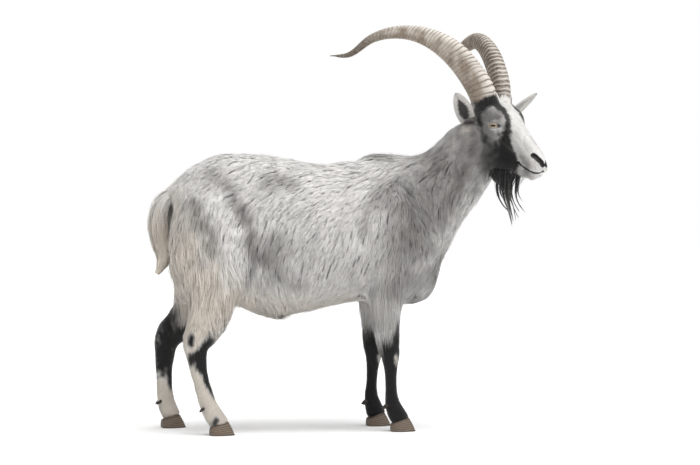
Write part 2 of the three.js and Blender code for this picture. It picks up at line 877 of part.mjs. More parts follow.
function addHead() {
  const whole = stretch([500, -340, 700], [820, 60, 1060], HEAD_FACETS, [neckToHead, throatToHead]);
  const horns = SIDES.map((side) => hornSolid(side, GAP));
  const eyes = SIDES.map((side) => eyeSolid(side, GAP));
  const guests = [...horns, ...eyes, ...SIDES.map((side) => earSolid(side, 2 * GAP))];
  add('head', seated(keep(whole, jawToHead), guests), BLACK_COAT);
  add('lower_jaw', seated(keep(whole, opposite(jawToHead)), [...guests, beardSolid(GAP)]), BLACK_COAT);
  add('beard', beardSolid(), BLACK_COAT);
  SIDES.forEach((side) => {
    add(`horn_${side}`, hornSolid(side), HORN);
    add(`eye_${side}`, eyeSolid(side), EYE_GLOSS);
    add(`ear_${side}`, earSolid(side), GREY_COAT);
  });
}

function addTrunk() {
  const ears = SIDES.map((side) => earSolid(side, 2 * GAP));
  const horns = SIDES.map((side) => hornSolid(side, GAP));
  const neck = stretch([300, -230, 440], [700, 150, 1080], NECK_FACETS, [chestToNeck]);
  const neckPart = keep(neck, opposite(neckToHead)).add(keep(neck, opposite(throatToHead)));
  add('neck', seated(neckPart, [...ears, ...horns]), GREY_COAT);
  const chest = stretch([170, -230, 340], [600, 230, 900], TRUNK_FACETS, [
    barrelToChest,
    foreToChest,
    opposite(chestToNeck),
  ]);
  add('chest', chest, GREY_COAT);
  add(
    'barrel',
    stretch([-175, -230, 300], [240, 230, 900], TRUNK_FACETS, [rumpToBarrel, opposite(barrelToChest)]),
    PALE_COAT,
  );
  const rump = stretch([-420, -230, 300], [-100, 230, 900], TRUNK_FACETS, [
    opposite(rumpToBarrel),
    thighToRump,
  ]);
  add('rump', seated(rump, [tailSolid(GAP)]), PALE_COAT);
  add('tail', tailSolid(), CREAM_COAT);
}

function addForeleg(side) {
  const foot = `fore_${side}`;
  const [low, high] = side === 'right' ? [-200, -2] : [2, 200];
  const upper = stretch([150, low, 180], [460, high, 430], FOREARM_FACETS, [
    opposite(foreToChest),
    kneeCut,
  ]);
  add(`foreleg_upper_${side}`, upper, GREY_COAT);
  const lower = stretch([150, low, 0], [460, high, 262], SHANK_FACETS, [
    opposite(kneeCut),
    coronet(foot),
  ]);
  addFoot(foot, `foreleg_lower_${side}`, lower);
}

function addHindleg(side) {
  const foot = `hind_${side}`;
  const [low, high] = side === 'right' ? [-240, 10] : [-10, 240];
  const inside = side === 'right' ? opposite(midline) : midline;
  const thigh = stretch([-450, low, 240], [-60, high, 660], THIGH_FACETS, [
    opposite(thighToRump),
    opposite(rumpToBarrel),
    hockCuts[side],
    inside,
  ]);
  add(`hindleg_thigh_${side}`, seated(thigh, [tailSolid(GAP)]), CREAM_COAT);
  const shank = stretch([-450, low, 0], [-100, high, 380], SHANK_FACETS, [
    opposite(hockCuts[side]),
    coronet(foot),
  ]);
  addFoot(foot, `hindleg_shank_${side}`, shank);
}

function addFoot(foot, legName, leg) {
  const pair = [true, false];
  const dewclaws = pair.map((outer) => dewclawSolid(foot, outer, GAP));
  add(legName, seated(leg, dewclaws), BLACK_COAT);
  pair.forEach((outer) => {
    const place = outer ? 'a' : 'b';
    add(`claw_${foot}_${place}`, clawSolid(foot, outer), HOOF);
    add(`dewclaw_${foot}_${place}`, dewclawSolid(foot, outer), HOOF);
  });
}

addHead();
addTrunk();
SIDES.forEach(addForeleg);
SIDES.forEach(addHindleg);

// The origin is on the ground, below the middle of the box round the whole goat.
const box = new THREE.Box3().setFromObject(goat);
const middle = box.getCenter(new THREE.Vector3());
goat.position.set(-middle.x, -middle.y, 0);

export default goat;
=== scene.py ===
# %% [markdown]
# # A billy goat, standing
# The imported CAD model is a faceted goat: it gives the outline out to the tips of the hair. This
# lesson builds the goat that a museum visitor sees inside that outline, in six parts: one skin,
# eyes, horns, claws, a coat of solid tufts, and the finishes. Nothing in the CAD model is moved.

# %% Load the frame
import json
import math

import bmesh
import bpy
import numpy as np
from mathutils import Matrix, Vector
from mathutils.bvhtree import BVHTree
from mathutils.kdtree import KDTree

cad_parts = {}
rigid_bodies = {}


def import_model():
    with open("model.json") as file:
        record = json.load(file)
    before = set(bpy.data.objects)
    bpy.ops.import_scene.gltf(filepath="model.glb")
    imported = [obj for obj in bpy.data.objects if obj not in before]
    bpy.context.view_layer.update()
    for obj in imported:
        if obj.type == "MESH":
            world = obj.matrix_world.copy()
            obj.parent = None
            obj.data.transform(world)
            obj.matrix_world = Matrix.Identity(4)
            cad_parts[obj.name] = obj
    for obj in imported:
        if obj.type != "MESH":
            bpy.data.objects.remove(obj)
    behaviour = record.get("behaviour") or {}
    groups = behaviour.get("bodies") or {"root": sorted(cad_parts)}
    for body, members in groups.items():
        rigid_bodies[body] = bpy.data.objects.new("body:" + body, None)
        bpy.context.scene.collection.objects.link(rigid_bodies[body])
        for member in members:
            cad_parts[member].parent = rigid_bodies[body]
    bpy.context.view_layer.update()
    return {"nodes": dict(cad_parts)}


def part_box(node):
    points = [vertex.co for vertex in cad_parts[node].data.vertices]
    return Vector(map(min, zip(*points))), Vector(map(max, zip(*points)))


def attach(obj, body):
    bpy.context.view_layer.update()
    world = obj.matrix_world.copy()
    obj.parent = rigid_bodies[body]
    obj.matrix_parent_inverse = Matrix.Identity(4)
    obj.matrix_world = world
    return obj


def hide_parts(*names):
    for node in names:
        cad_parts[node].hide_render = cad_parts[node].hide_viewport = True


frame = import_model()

rng = np.random.default_rng(9)

# %% [markdown]
# The goat was drawn in millimetres round a point between its feet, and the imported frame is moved
# sideways from it. Two flat cuts of known place, one in front of the barrel and one between the
# thighs, give that move, so every size below can be written in the goat's own millimetres.

# %% The goat's own millimetres
MM = 0.001
HALF_GAP = 0.15  # the CAD pieces stop this far from the flat cuts between them
CHEST_CUT = 205.0 + HALF_GAP
THIGH_CUT = HALF_GAP
chest_low, thigh_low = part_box("chest")[0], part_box("hindleg_thigh_left")[0]
MOVE = np.array([chest_low.x - CHEST_CUT * MM, thigh_low.y - THIGH_CUT * MM, 0.0])
print("move of the frame", MOVE)


def on_goat(place):
    """A place in the goat's millimetres, as a point of the frame in metres."""
    return np.asarray(place, float) * MM + MOVE


def goat_mm(points):
    """Points of the frame, in the goat's millimetres."""
    return (np.asarray(points) - MOVE) / MM


# %% [markdown]
# The head is turned to the goat's right and drops forward. Its own three directions, down the face,
# out of the face and to its right, make eyes, horns and lips the same numbers on both halves.

# %% The head's own directions
POLL = np.array([625.0, -90.0, 1011.0])
TURN, DROP = math.radians(-56), math.radians(44)
ahead = np.array([math.cos(TURN), math.sin(TURN), 0.0])
up = np.array([0.0, 0.0, 1.0])
to_right = np.cross(ahead, up)
down_face = ahead * math.cos(DROP) - up * math.sin(DROP)
out_face = ahead * math.sin(DROP) + up * math.cos(DROP)
HEAD_AXES = np.array([down_face, out_face, to_right])


def head_way(way):
    """A direction told down, out and right on the head, as a direction of the goat."""
    return np.asarray(way, float) @ HEAD_AXES


def on_head(place):
    """A place told down, out and right on the head, in the goat's millimetres."""
    return POLL + head_way(place)


def head_mm(points):
    """The goat's millimetres, told down, out and right on the head."""
    return (np.asarray(points) - POLL) @ HEAD_AXES.T


def unit(rows):
    """Rows of vectors, each made one long."""
    rows = np.asarray(rows, float)
    return rows / np.maximum(np.linalg.norm(rows, axis=-1, keepdims=True), 1e-12)


# %% [markdown]
# Many steps need the same few mesh jobs: read points out of a mesh, write them back, and make an
# object from arrays. Blender's foreach calls move whole arrays at once, which keeps a coat of a
# million triangles quick.

# %% Small mesh helpers
def read_rows(items, label, width, kind=float):
    """What every item of a mesh says under a label, as rows."""
    flat = np.empty(len(items) * width, kind)
    items.foreach_get(label, flat)
    return flat.reshape(-1, width)


def points_of(mesh):
    """All vertices of a mesh, as rows."""
    return read_rows(mesh.vertices, "co", 3)


def normals_of(mesh):
    """All vertex normals of a mesh, as rows."""
    return read_rows(mesh.vertices, "normal", 3)


def lines_of(mesh):
    """All edges of a mesh, as rows of two vertices."""
    return read_rows(mesh.edges, "vertices", 2, int)


def put_points(mesh, points):
    """Moves the vertices of a mesh."""
    mesh.vertices.foreach_set("co", np.ascontiguousarray(points, float).ravel())
    mesh.update()


def triangles_of(mesh):
    """All triangles of a mesh, as rows of three vertices."""
    mesh.calc_loop_triangles()
    return read_rows(mesh.loop_triangles, "vertices", 3, int)


def keep_number(mesh, label, values):
    """Stores a number for each point of a mesh."""
    layer = mesh.attributes.new(label, "FLOAT", "POINT")
    layer.data.foreach_set("value", np.asarray(values, float))


def values_of(mesh, label):
    """The numbers kept on the points of a mesh."""
    return read_rows(mesh.attributes[label].data, "value", 1)[:, 0]


def keep_colour(mesh, label, rows):
    """Stores four amounts for each point of a mesh."""
    layer = mesh.color_attributes.new(label, "FLOAT_COLOR", "POINT")
    layer.data.foreach_set("color", np.ascontiguousarray(rows, np.float32).ravel())


def tree_over(points, faces):
    """A search tree over a surface."""
    return BVHTree.FromPolygons([tuple(p) for p in points], [tuple(f) for f in faces])


def in_scene(name, data):
    """A new object in the scene."""
    piece = bpy.data.objects.new(name, data)
    bpy.context.scene.collection.objects.link(piece)
    return piece


def object_from(name, points, faces, smooth=True):
    """A new object from points in metres and lists of faces."""
    mesh = bpy.data.meshes.new(name)
    mesh.from_pydata([tuple(p) for p in points], [], [tuple(int(i) for i in f) for f in faces])
    mesh.validate()
    mesh.polygons.foreach_set("use_smooth", [smooth] * len(mesh.polygons))
    return in_scene(name, mesh)


def face_outward(piece):
    """Turns every face of a closed mesh outward."""
    form = bmesh.new()
    form.from_mesh(piece.data)
    bmesh.ops.recalc_face_normals(form, faces=form.faces)
    form.to_mesh(piece.data)
    form.free()


def bake_modifiers(piece):
    """Replaces a mesh by what its modifiers make of it."""
    shaped = piece.evaluated_get(bpy.context.evaluated_depsgraph_get())
    mesh = bpy.data.meshes.new_from_object(shaped)
    piece.modifiers.clear()
    old, piece.data = piece.data, mesh
    bpy.data.meshes.remove(old)
    return piece


def relax(values, lines, rounds):
    """Evens out rows of values, each half way to the mean of its neighbours along the edges."""
    count = len(values)
    share = np.bincount(lines.ravel(), minlength=count).clip(1)[:, None]
    rows = values.reshape(count, -1).astype(float)
    for _ in range(rounds):
        total = np.empty_like(rows)
        for k in range(rows.shape[1]):
            column = rows[:, k]
            total[:, k] = np.bincount(lines[:, 0], column[lines[:, 1]], count)
            total[:, k] += np.bincount(lines[:, 1], column[lines[:, 0]], count)
        rows = rows + 0.5 * (total / share - rows)
    return rows.reshape(values.shape)


def smooth_step(low, high, x):
    """0 below low, 1 above high, and a soft rise between."""
    t = np.clip((np.asarray(x, float) - low) / (high - low), 0, 1)
    return t * t * (3 - 2 * t)


# %% [markdown]
# Curves through a few named places shape horns, the tail, lips and locks. A centripetal
# Catmull-Rom curve passes through every place and never loops back between two of them.

# %% Smooth lines
FINE_STEPS = 24  # points tried between two places of a curve


def smooth_line(places, count):
    """Even points on a Catmull-Rom curve, how far through its sections they are, and its length."""
    p = np.asarray(places, float)
    p = np.vstack([2 * p[0] - p[1], p, 2 * p[-1] - p[-2]])
    fine, shares = [], []
    for i in range(1, len(p) - 2):
        a, b, c, d = p[i - 1:i + 3]
        t0 = 0.0
        t1 = t0 + max(np.linalg.norm(b - a), 1e-9) ** 0.5
        t2 = t1 + max(np.linalg.norm(c - b), 1e-9) ** 0.5
        t3 = t2 + max(np.linalg.norm(d - c), 1e-9) ** 0.5
        for s in np.linspace(0, 1, FINE_STEPS, endpoint=False):
            t = t1 + (t2 - t1) * s
            ab = (t1 - t) / (t1 - t0) * a + (t - t0) / (t1 - t0) * b
            bc = (t2 - t) / (t2 - t1) * b + (t - t1) / (t2 - t1) * c
            cd = (t3 - t) / (t3 - t2) * c + (t - t2) / (t3 - t2) * d
            abc = (t2 - t) / (t2 - t0) * ab + (t - t0) / (t2 - t0) * bc
            bcd = (t3 - t) / (t3 - t1) * bc + (t - t1) / (t3 - t1) * cd
            fine.append((t2 - t) / (t2 - t1) * abc + (t - t1) / (t2 - t1) * bcd)
            shares.append((i - 1 + s) / (len(places) - 1))
    fine.append(np.asarray(places[-1], float))
    shares.append(1.0)
    fine, shares = np.array(fine), np.array(shares)
    run = np.concatenate([[0], np.cumsum(np.linalg.norm(np.diff(fine, axis=0), axis=1))])
    even = np.linspace(0, run[-1], count)
    points = np.stack([np.interp(even, run, fine[:, k]) for k in range(3)], 1)
    return points, np.interp(even, run, shares), run[-1]


def at_shares(values, shares):
    """Values given at the sections, read at shares of the line."""
    return np.interp(shares, np.linspace(0, 1, len(values)), values)


def loft(name, rings):
    """A tube over rings of points that all have the same count, with closed ends."""
    sides = len(rings[0])
    points = [p for ring in rings for p in ring]
    faces = []
    for r in range(len(rings) - 1):
        for s in range(sides):
            n = (s + 1) % sides
            faces.append((r * sides + s, r * sides + n, (r + 1) * sides + n, (r + 1) * sides + s))
    faces.append(tuple(range(sides - 1, -1, -1)))
    faces.append(tuple((len(rings) - 1) * sides + s for s in range(sides)))
    piece = object_from(name, points, faces)
    face_outward(piece)
    return piece


# %% [markdown]
# Nothing on an animal repeats evenly. A sum of slanted sine waves is a cheap noise that gives the
# same value for the same place on every run, for thousands of points at once.

# %% Wandering values
LAYERS = 5


def wander(points_mm, size, seed):
    """Smooth noise of about -1 to 1, with bumps about size millimetres across."""
    dice = np.random.default_rng(seed)
    total = np.zeros(len(points_mm))
    for _ in range(LAYERS):
        ways = unit(dice.normal(size=(4, 3))) * (2 * math.pi / size) * dice.uniform(0.6, 1.5, (4, 1))
        phases = dice.uniform(0, 2 * math.pi, 4)
        total += np.sin(points_mm @ ways.T + phases).sum(1) / 4
    return total / math.sqrt(LAYERS) * 1.3


# %% [markdown]
# ## The lie of the coat
# A goat's hair grows back along the body, down the sides and down the legs, and its length changes
# from 5 mm on the muzzle to 70 mm on the thighs. A comb stroke here is a place with the way the
# hair lies there, its length, how deep the coat is over the skin, the width of a tuft and how
# freely it hangs. Skin and tufts both read these strokes, blended by distance, so they agree.

# %% Comb strokes
# place, way, length, depth and width in millimetres, and the share of free hang where there is any
BODY_STROKES = [
    ((300, 0, 840), (-1, 0, -0.05), 44, 13, 1.35),
    ((395, 0, 815), (-0.9, 0, -0.35), 48, 13, 1.35),
    ((290, 60, 780), (-0.8, 0.2, -0.5), 46, 14, 1.35),
    ((100, 0, 800), (-1, 0, 0), 36, 11, 1.3),
    ((100, 60, 775), (-0.95, 0.1, -0.25), 40, 12, 1.3),
    ((-100, 0, 835), (-1, 0, 0), 34, 11, 1.3),
    ((-100, 70, 800), (-0.9, 0.1, -0.4), 40, 12, 1.35),
    ((-250, 0, 800), (-0.9, 0, -0.45), 36, 12, 1.35),
    ((-330, 20, 750), (-0.7, 0, -0.7), 40, 12, 1.35),
    ((-250, 90, 720), (-0.55, 0, -0.85), 46, 14, 1.35),
    ((-170, 100, 740), (-0.75, 0, -0.6), 44, 13, 1.35),
    ((50, 120, 700), (-0.8, 0, -0.6), 42, 14, 1.35),
    ((180, 125, 690), (-0.7, 0, -0.72), 44, 14, 1.35),
    ((50, 160, 580), (-0.5, 0, -0.86), 50, 16, 1.4),
    ((180, 140, 560), (-0.38, 0, -0.92), 52, 16, 1.4),
    ((50, 140, 460), (-0.35, -0.2, -0.9), 52, 16, 1.4, 0.05),
    ((180, 115, 450), (-0.45, -0.15, -0.88), 50, 16, 1.4, 0.05),
    ((0, 0, 370), (-0.75, 0, -0.5), 46, 14, 1.4, 0.1),
    ((180, 0, 400), (-0.75, 0, -0.5), 46, 14, 1.4, 0.1),
    ((-90, 0, 350), (-0.3, 0, -0.9), 48, 12, 1.35, 0.4),
    ((-52, 14, 345), (0.15, -0.2, -1), 66, 12, 1.3, 0.7),
    ((-52, 90, 392), (0.4, -0.6, -0.8), 70, 14, 1.35, 0.4),
    ((-140, 120, 600), (-0.35, 0, -0.93), 50, 15, 1.4),
    ((-120, 120, 500), (-0.1, -0.1, -0.98), 54, 16, 1.4),
    ((-60, 110, 430), (0.3, -0.2, -0.9), 54, 15, 1.4, 0.1),
    ((-170, 110, 470), (0.4, 0, -0.9), 60, 16, 1.4, 0.1),
    ((-290, 115, 640), (-0.2, 0, -0.98), 60, 16, 1.4),
    ((-290, 125, 520), (0.0, 0, -1), 70, 18, 1.5, 0.05),
    ((-230, 115, 420), (-0.35, 0, -0.93), 68, 17, 1.5, 0.2),
    ((-310, 115, 410), (0.0, 0, -1), 66, 16, 1.5, 0.25),
    ((-380, 80, 600), (0.1, 0.05, -1), 72, 18, 1.55, 0.15),
    ((-370, 80, 480), (0.25, 0.05, -1), 72, 18, 1.55, 0.25),
    ((-340, 30, 600), (0.05, 0, -1), 60, 14, 1.5, 0.1),
    ((300, 105, 650), (-0.25, 0, -0.97), 52, 15, 1.4),
    ((345, 105, 560), (-0.1, 0, -1), 56, 15, 1.4),
    ((335, 121, 745), (0.4, 0, -0.9), 40, 12, 1.35),
    ((378, 132, 664), (0.42, 0, -0.9), 40, 12, 1.35),
    ((414, 118, 600), (0.38, 0, -0.9), 42, 12, 1.35),
    ((250, 115, 520), (-0.3, 0, -0.95), 54, 15, 1.4, 0.05),
    ((290, 105, 440), (0, 0, -1), 70, 13, 1.4, 0.25),
    ((240, 112, 420), (0.05, 0, -1), 84, 13, 1.4, 0.3),
    ((250, 104, 350), (0.02, 0, -1), 96, 9, 1.4, 0.5),
    ((302, 98, 345), (0, 0, -1), 44, 8, 1.4, 0.3),
    ((280, 96, 370), (0, 0, -1), 60, 10, 1.35, 0.4),
    ((395, 12, 402), (0.1, 0, -1), 52, 12, 1.35, 0.5),
    ((440, 0, 520), (-0.3, 0, -0.95), 50, 15, 1.4, 0.1),
    ((415, 30, 430), (-0.5, 0, -0.85), 46, 15, 1.4, 0.3),
    ((340, 0, 400), (-0.8, 0, -0.6), 44, 14, 1.4, 0.1),
    ((-213, 160, 388), (0.15, 0, -1), 84, 15, 1.5, 0.55),
    ((-242, 162, 345), (0.2, 0, -1), 60, 11, 1.5, 0.5),
    ((500, 0, 620), (-0.38, 0, -0.93), 54, 15, 1.4, 0.05),
    ((430, 80, 700), (-0.4, 0, -0.92), 52, 15, 1.4),
    ((500, 60, 770), (-0.42, 0, -0.9), 50, 13, 1.35),
    ((410, 60, 790), (-0.75, 0.1, -0.6), 52, 14, 1.35),
    ((470, 0, 860), (-0.75, 0, -0.62), 48, 13, 1.35),
    ((530, -20, 930), (-0.6, 0.1, -0.8), 38, 10, 1.2),
]
HEAD_STROKES = [
    ((270, -30, 0), (-1, 0.1, 0.05), 4, 1.0, 0.9),
    ((235, -12, 12), (-1, 0.1, 0.15), 6, 1.4, 1.0),
    ((245, -40, 30), (-1, -0.3, 0), 5, 1.2, 0.9),
    ((275, -90, 12), (-0.8, -0.5, 0), 6, 1.6, 1.0),
    ((200, -4, 0), (-1, 0.1, 0.1), 8, 2, 1.1),
    ((150, -8, 20), (-1, 0, 0.25), 10, 2.4, 1.2),
    ((90, -4, 0), (-1, 0.1, 0.15), 12, 3, 1.3),
    ((40, -2, 10), (-1, 0.2, 0.25), 16, 4, 1.4),
    ((60, -14, 40), (-0.9, 0.2, 0.4), 9, 2.0, 1.1),
    ((120, -40, 46), (-0.9, -0.5, 0.1), 9, 2.2, 1.2),
    ((170, -60, 38), (-0.85, -0.6, 0), 10, 2.6, 1.2),
    ((84, -70, 58), (-0.8, -0.6, 0), 8, 2.0, 1.1),
    ((90, -100, 56), (-0.6, -0.8, 0), 14, 3.6, 1.4),
    ((140, -115, 40), (-0.5, -0.9, 0), 16, 4, 1.5),
    ((200, -110, 22), (-0.5, -0.85, 0), 12, 3.4, 1.3),
    ((190, -130, 8), (-0.2, -1, 0), 40, 5, 1.3, 0.5),
    ((212, -120, 16), (-0.3, -1, 0), 32, 4, 1.2, 0.5),
    ((160, -128, 30), (-0.5, -0.9, 0), 26, 4.5, 1.3, 0.2),
    ((170, -150, 10), (-0.3, -1, 0), 38, 6, 1.3, 0.5),
    ((110, -150, 30), (-0.5, -0.9, 0), 30, 6, 1.6, 0.1),
    ((40, -110, 62), (-0.7, -0.7, 0.1), 18, 5, 1.6),
    ((10, -70, 58), (-0.9, -0.2, 0.3), 16, 5, 1.5),
    ((-20, -60, 20), (-1, -0.2, 0), 24, 7, 1.8),
    ((0, -80, 115), (-0.1, 0.25, 1), 12, 1.2, 1.1),
    ((-15, -30, 150), (-0.1, 0.3, 1), 9, 1.0, 1.1),
]
# One leg of each pair and side, down its front: the hair runs down, short and close.
LEG_PLACES = [
    (280, -92, 268), (289, -90, 226), (290, -90, 140), (308, -92, 50),
    (266, 106, 268), (267, 106, 232), (261, 108, 140), (270, 110, 50),
    (-301, -138, 278), (-289, -144, 170), (-262, -149, 82), (-240, -150, 45),
    (-371, 130, 278), (-381, 133, 160), (-376, 135, 84), (-360, 136, 45),
]
LEG_STROKES = [(place, (0, 0, -1), 11 + 0.012 * place[2], 2.6, 1.4) for place in LEG_PLACES]
# longer hair behind the pasterns, over the hooves and in front of the hocks
PASTERNS = [((262, -92, 74), 24), ((238, 110, 74), 26), ((-290, -152, 84), 26), ((-402, 136, 90), 26)]
OVER_HOOVES = [(322, -92, 30), (284, 110, 30), (-230, -150, 28), (-350, 136, 28)]
HOCKS = [(-285, -130, 325), (-345, 125, 325)]
LEG_STROKES += [(place, (-0.5, 0, -0.85), long, 6, 1.3, 0.3) for place, long in PASTERNS]
LEG_STROKES += [(place, (0.25, 0, -1), 20, 4.5, 1.3, 0.2) for place in OVER_HOOVES]
LEG_STROKES += [(place, (0.05, 0, -1), 30, 7, 1.9, 0.2) for place in HOCKS]

strokes = []
for place, way, *sizes in BODY_STROKES:
    for side in ((1, -1) if place[1] > 0 and place[0] < 500 or place[1] > 40 else (1,)):
        strokes.append((np.array(place) * (1, side, 1), np.array(way) * (1, side, 1), sizes))
for place, way, *sizes in HEAD_STROKES:
    for side in ((1, -1) if place[2] else (1,)):
        mirrored = (1, 1, side)
        strokes.append((on_head(np.array(place) * mirrored), head_way(np.array(way) * mirrored), sizes))
strokes += [(np.array(place), np.array(way), sizes) for place, way, *sizes in LEG_STROKES]
STROKE_AT = np.array([s[0] for s in strokes], float)
STROKE_WAY = unit([s[1] for s in strokes])
STROKE_SIZES = np.array([(*s[2], 0)[:4] for s in strokes], float)
LENGTH, DEPTH, WIDTH, FREE = range(4)  # the columns of those sizes
SPREAD = 14.0   # millimetres within which one stroke rules alone
FALL_OFF = 2.2  # how fast a stroke loses its say beyond that
CHUNK = 20000   # points blended at once
print(len(strokes), "comb strokes")


def comb(points_mm):
    """The way, and the length, depth, width and freedom, of the hair at places on the goat."""
    way, sizes = [], []
    for part in np.array_split(points_mm, max(1, len(points_mm) // CHUNK)):
        gap = ((part[:, None] - STROKE_AT[None]) ** 2).sum(2) + SPREAD ** 2
        weight = gap ** -FALL_OFF
        weight /= weight.sum(1, keepdims=True)
        way.append(weight @ STROKE_WAY)
        sizes.append(weight @ STROKE_SIZES)
    return unit(np.vstack(way)), np.vstack(sizes)


# %% [markdown]
# ## The skin
# The flesh of the CAD model is cut into named pieces with hairline gaps. Copies of them, swollen by
# a little more than the gap, are joined and wrapped again by a voxel Remesh, which gives one closed
# hull with even quads. The hull is then the tips of the coat, and the skin lies under it.

# %% One hull from the pieces
SIDES = ("right", "left")
FLESH = ["head", "lower_jaw", "neck", "chest", "barrel", "rump"]
FLESH += [f"{part}_{side}" for side in SIDES
          for part in ("foreleg_upper", "foreleg_lower", "hindleg_thigh", "hindleg_shank")]
SWELL = 0.0012   # metres; more than the gap between two pieces
VOXEL = 0.0085   # metres; the size of the hull's quads
TAIL_SIDES = 16


def swollen_copy(node):
    """A CAD node's mesh, welded and pushed outward by the swell."""
    form = bmesh.new()
    form.from_mesh(frame["nodes"][node].data)
    form.transform(frame["nodes"][node].matrix_world)
    bmesh.ops.remove_doubles(form, verts=form.verts, dist=1e-5)
    bmesh.ops.recalc_face_normals(form, faces=form.faces)
    form.normal_update()
    for vertex in form.verts:
        vertex.co += vertex.normal * SWELL
    points = [v.co.copy() for v in form.verts]
    faces = [[v.index for v in f.verts] for f in form.faces]
    form.free()
    return points, faces


# ahead, up and radius of the dock of the tail, from the rump to its tip
TAIL_CORE = [(-338, 722, 21), (-384, 703, 17), (-405, 666, 14), (-409, 615, 11), (-402, 562, 7)]
SIDEWAYS = np.array([0.0, 1.0, 0.0])


def tail_core():
    """The dock of the tail: a tapered tube inside the tail's hair."""
    line, shares, _ = smooth_line([(x, 0, z) for x, z, _ in TAIL_CORE], 26)
    radii = at_shares([r for _, _, r in TAIL_CORE], shares)
    rings = []
    for i, centre in enumerate(line):
        axis = unit(line[min(i + 1, len(line) - 1)] - line[max(i - 1, 0)])
        face = np.cross(axis, SIDEWAYS)
        turns = np.linspace(0, 2 * math.pi, TAIL_SIDES, endpoint=False)
        outs = [math.cos(t) * SIDEWAYS + math.sin(t) * face for t in turns]
        rings.append([on_goat(centre + radii[i] * out) for out in outs])
    return loft("tail_core", rings)


def wrapped_hull():
    """The flesh and the dock of the tail as one closed mesh of even quads."""
    points, faces = [], []
    for node in FLESH:
        some, more = swollen_copy(node)
        faces += [[len(points) + i for i in face] for face in more]
        points += some
    core = tail_core()
    faces += [[len(points) + i for i in face.vertices] for face in core.data.polygons]
    points += [v.co.copy() for v in core.data.vertices]
    bpy.data.objects.remove(core)
    hull = object_from("hull", points, faces)
    wrap = hull.modifiers.new("wrap", "REMESH")
    wrap.mode, wrap.voxel_size = "VOXEL", VOXEL
    return bake_modifiers(hull)


hull = wrapped_hull()
hull_lines = lines_of(hull.data)
hull_points = relax(points_of(hull.data), hull_lines, 2)
put_points(hull.data, hull_points)
hull_faces = [tuple(f.vertices) for f in hull.data.polygons]
hull_tree = tree_over(hull_points, hull_faces)
print("hull", len(hull_points), "points")

# %% [markdown]
# The skin starts as a well smoothed copy of the hull, which loses the facets. Each point then moves
# along its own normal until it lies under the hull by the depth of the coat there. The moves are
# evened out over the mesh first, so the skin stays smooth, and the depth shrinks to almost nothing
# on the muzzle and the legs.

# %% Under the coat
DEPTH_ROUNDS = 24  # rounds of evening that spread a change of the coat's depth over about 40 mm
HULL_ROUNDS = 8    # rounds that lose the facets


def on_tail(points):
    """1 on the dock of the tail, which has its own size, and 0 elsewhere."""
    place = goat_mm(points)
    behind = smooth_step(-352, -366, place[:, 0]) * smooth_step(30, 22, np.abs(place[:, 1]))
    return behind * smooth_step(520, 540, place[:, 2])


def comb_depth(mesh):
    """The coat's depth at each point of a mesh, in metres, evened out so that no step shows."""
    points = points_of(mesh)
    raw = comb(goat_mm(points))[1][:, DEPTH] * MM * (1 - on_tail(points))
    return relax(raw, lines_of(mesh), DEPTH_ROUNDS)


def settle(mesh, even, share=1.0):
    """Moves a mesh's points along their normals until they lie under the hull by the coat's depth."""
    points, normals = points_of(mesh), normals_of(mesh)
    gap = np.empty(len(points))
    for i, point in enumerate(points):
        near, way, _, far = hull_tree.find_nearest(point)
        gap[i] = far if (Vector(point) - near).dot(way) > 0 else -far
    move = (-values_of(mesh, "depth") - SWELL - gap) * share
    put_points(mesh, points + normals * relax(move, lines_of(mesh), even)[:, None])


skin = object_from("skin", hull_points, hull_faces)
lines = lines_of(skin.data)
keep_number(skin.data, "depth", comb_depth(skin.data))
put_points(skin.data, relax(points_of(skin.data), lines, HULL_ROUNDS))
for _ in range(3):
    settle(skin.data, 4)
    put_points(skin.data, relax(points_of(skin.data), lines, 1))
print("skin", len(skin.data.vertices), "points")

# %% [markdown]
# ## The head
# The body's 7 mm mesh is too coarse for eyelids and lips. The faces of the head are cut in four
# twice, and those round the eyes, nostrils and mouth once more, as a sculptor uses more clay detail
# only where it is needed. After each cut the skin settles under the hull again.

# %% Finer mesh on the head
EYE_AT = np.array([84.0, -48.0, 51.0])
EYE_RADIUS = 15.6
NOSTRIL = [(240, -20, 24), (252, -15, 24), (266, -15, 19), (276, -17, 13), (281, -22, 9)]
MOUTH = [(204, -82, 26), (222, -80, 27), (240, -75, 27), (258, -68, 24), (276, -59, 16), (289, -49, 8),
         (295, -42, 0)]
EYE_REACH, EYE_NEAR, LIP_REACH = 29, 19, 8  # round the eye, close to it, and round lips and nostrils


def is_head(points):
    """True for points of the head, in front of a slanted plane behind the ears and jaw."""
    down, out, right = head_mm(goat_mm(points)).T
    return (down > -62) & (np.abs(right) < 95) & ((out > -122) | (down > 98)) & (out > -200)


def is_face(points):
    """True for the face and jaw, in front of the horns and cheeks."""
    down, out, _ = head_mm(goat_mm(points)).T
    return is_head(points) & (down > 12) & (out > -150) & ((out > -118) | (down > 118))


def is_close(points, spot, reach):
    """True within reach of a place on either half of the head."""
    place = head_mm(goat_mm(points))
    place[:, 2] = np.abs(place[:, 2])
    return np.linalg.norm(place - np.array(spot), axis=1) < reach


def is_fine(points):
    """True round the eyes, nostrils and mouth."""
    near = is_close(points, EYE_AT, EYE_REACH)
    for spot in NOSTRIL + MOUTH:
        near |= is_close(points, spot, LIP_REACH)
    return near


def is_eye(points):
    """True round the eyes alone."""
    return is_close(points, EYE_AT, EYE_NEAR)


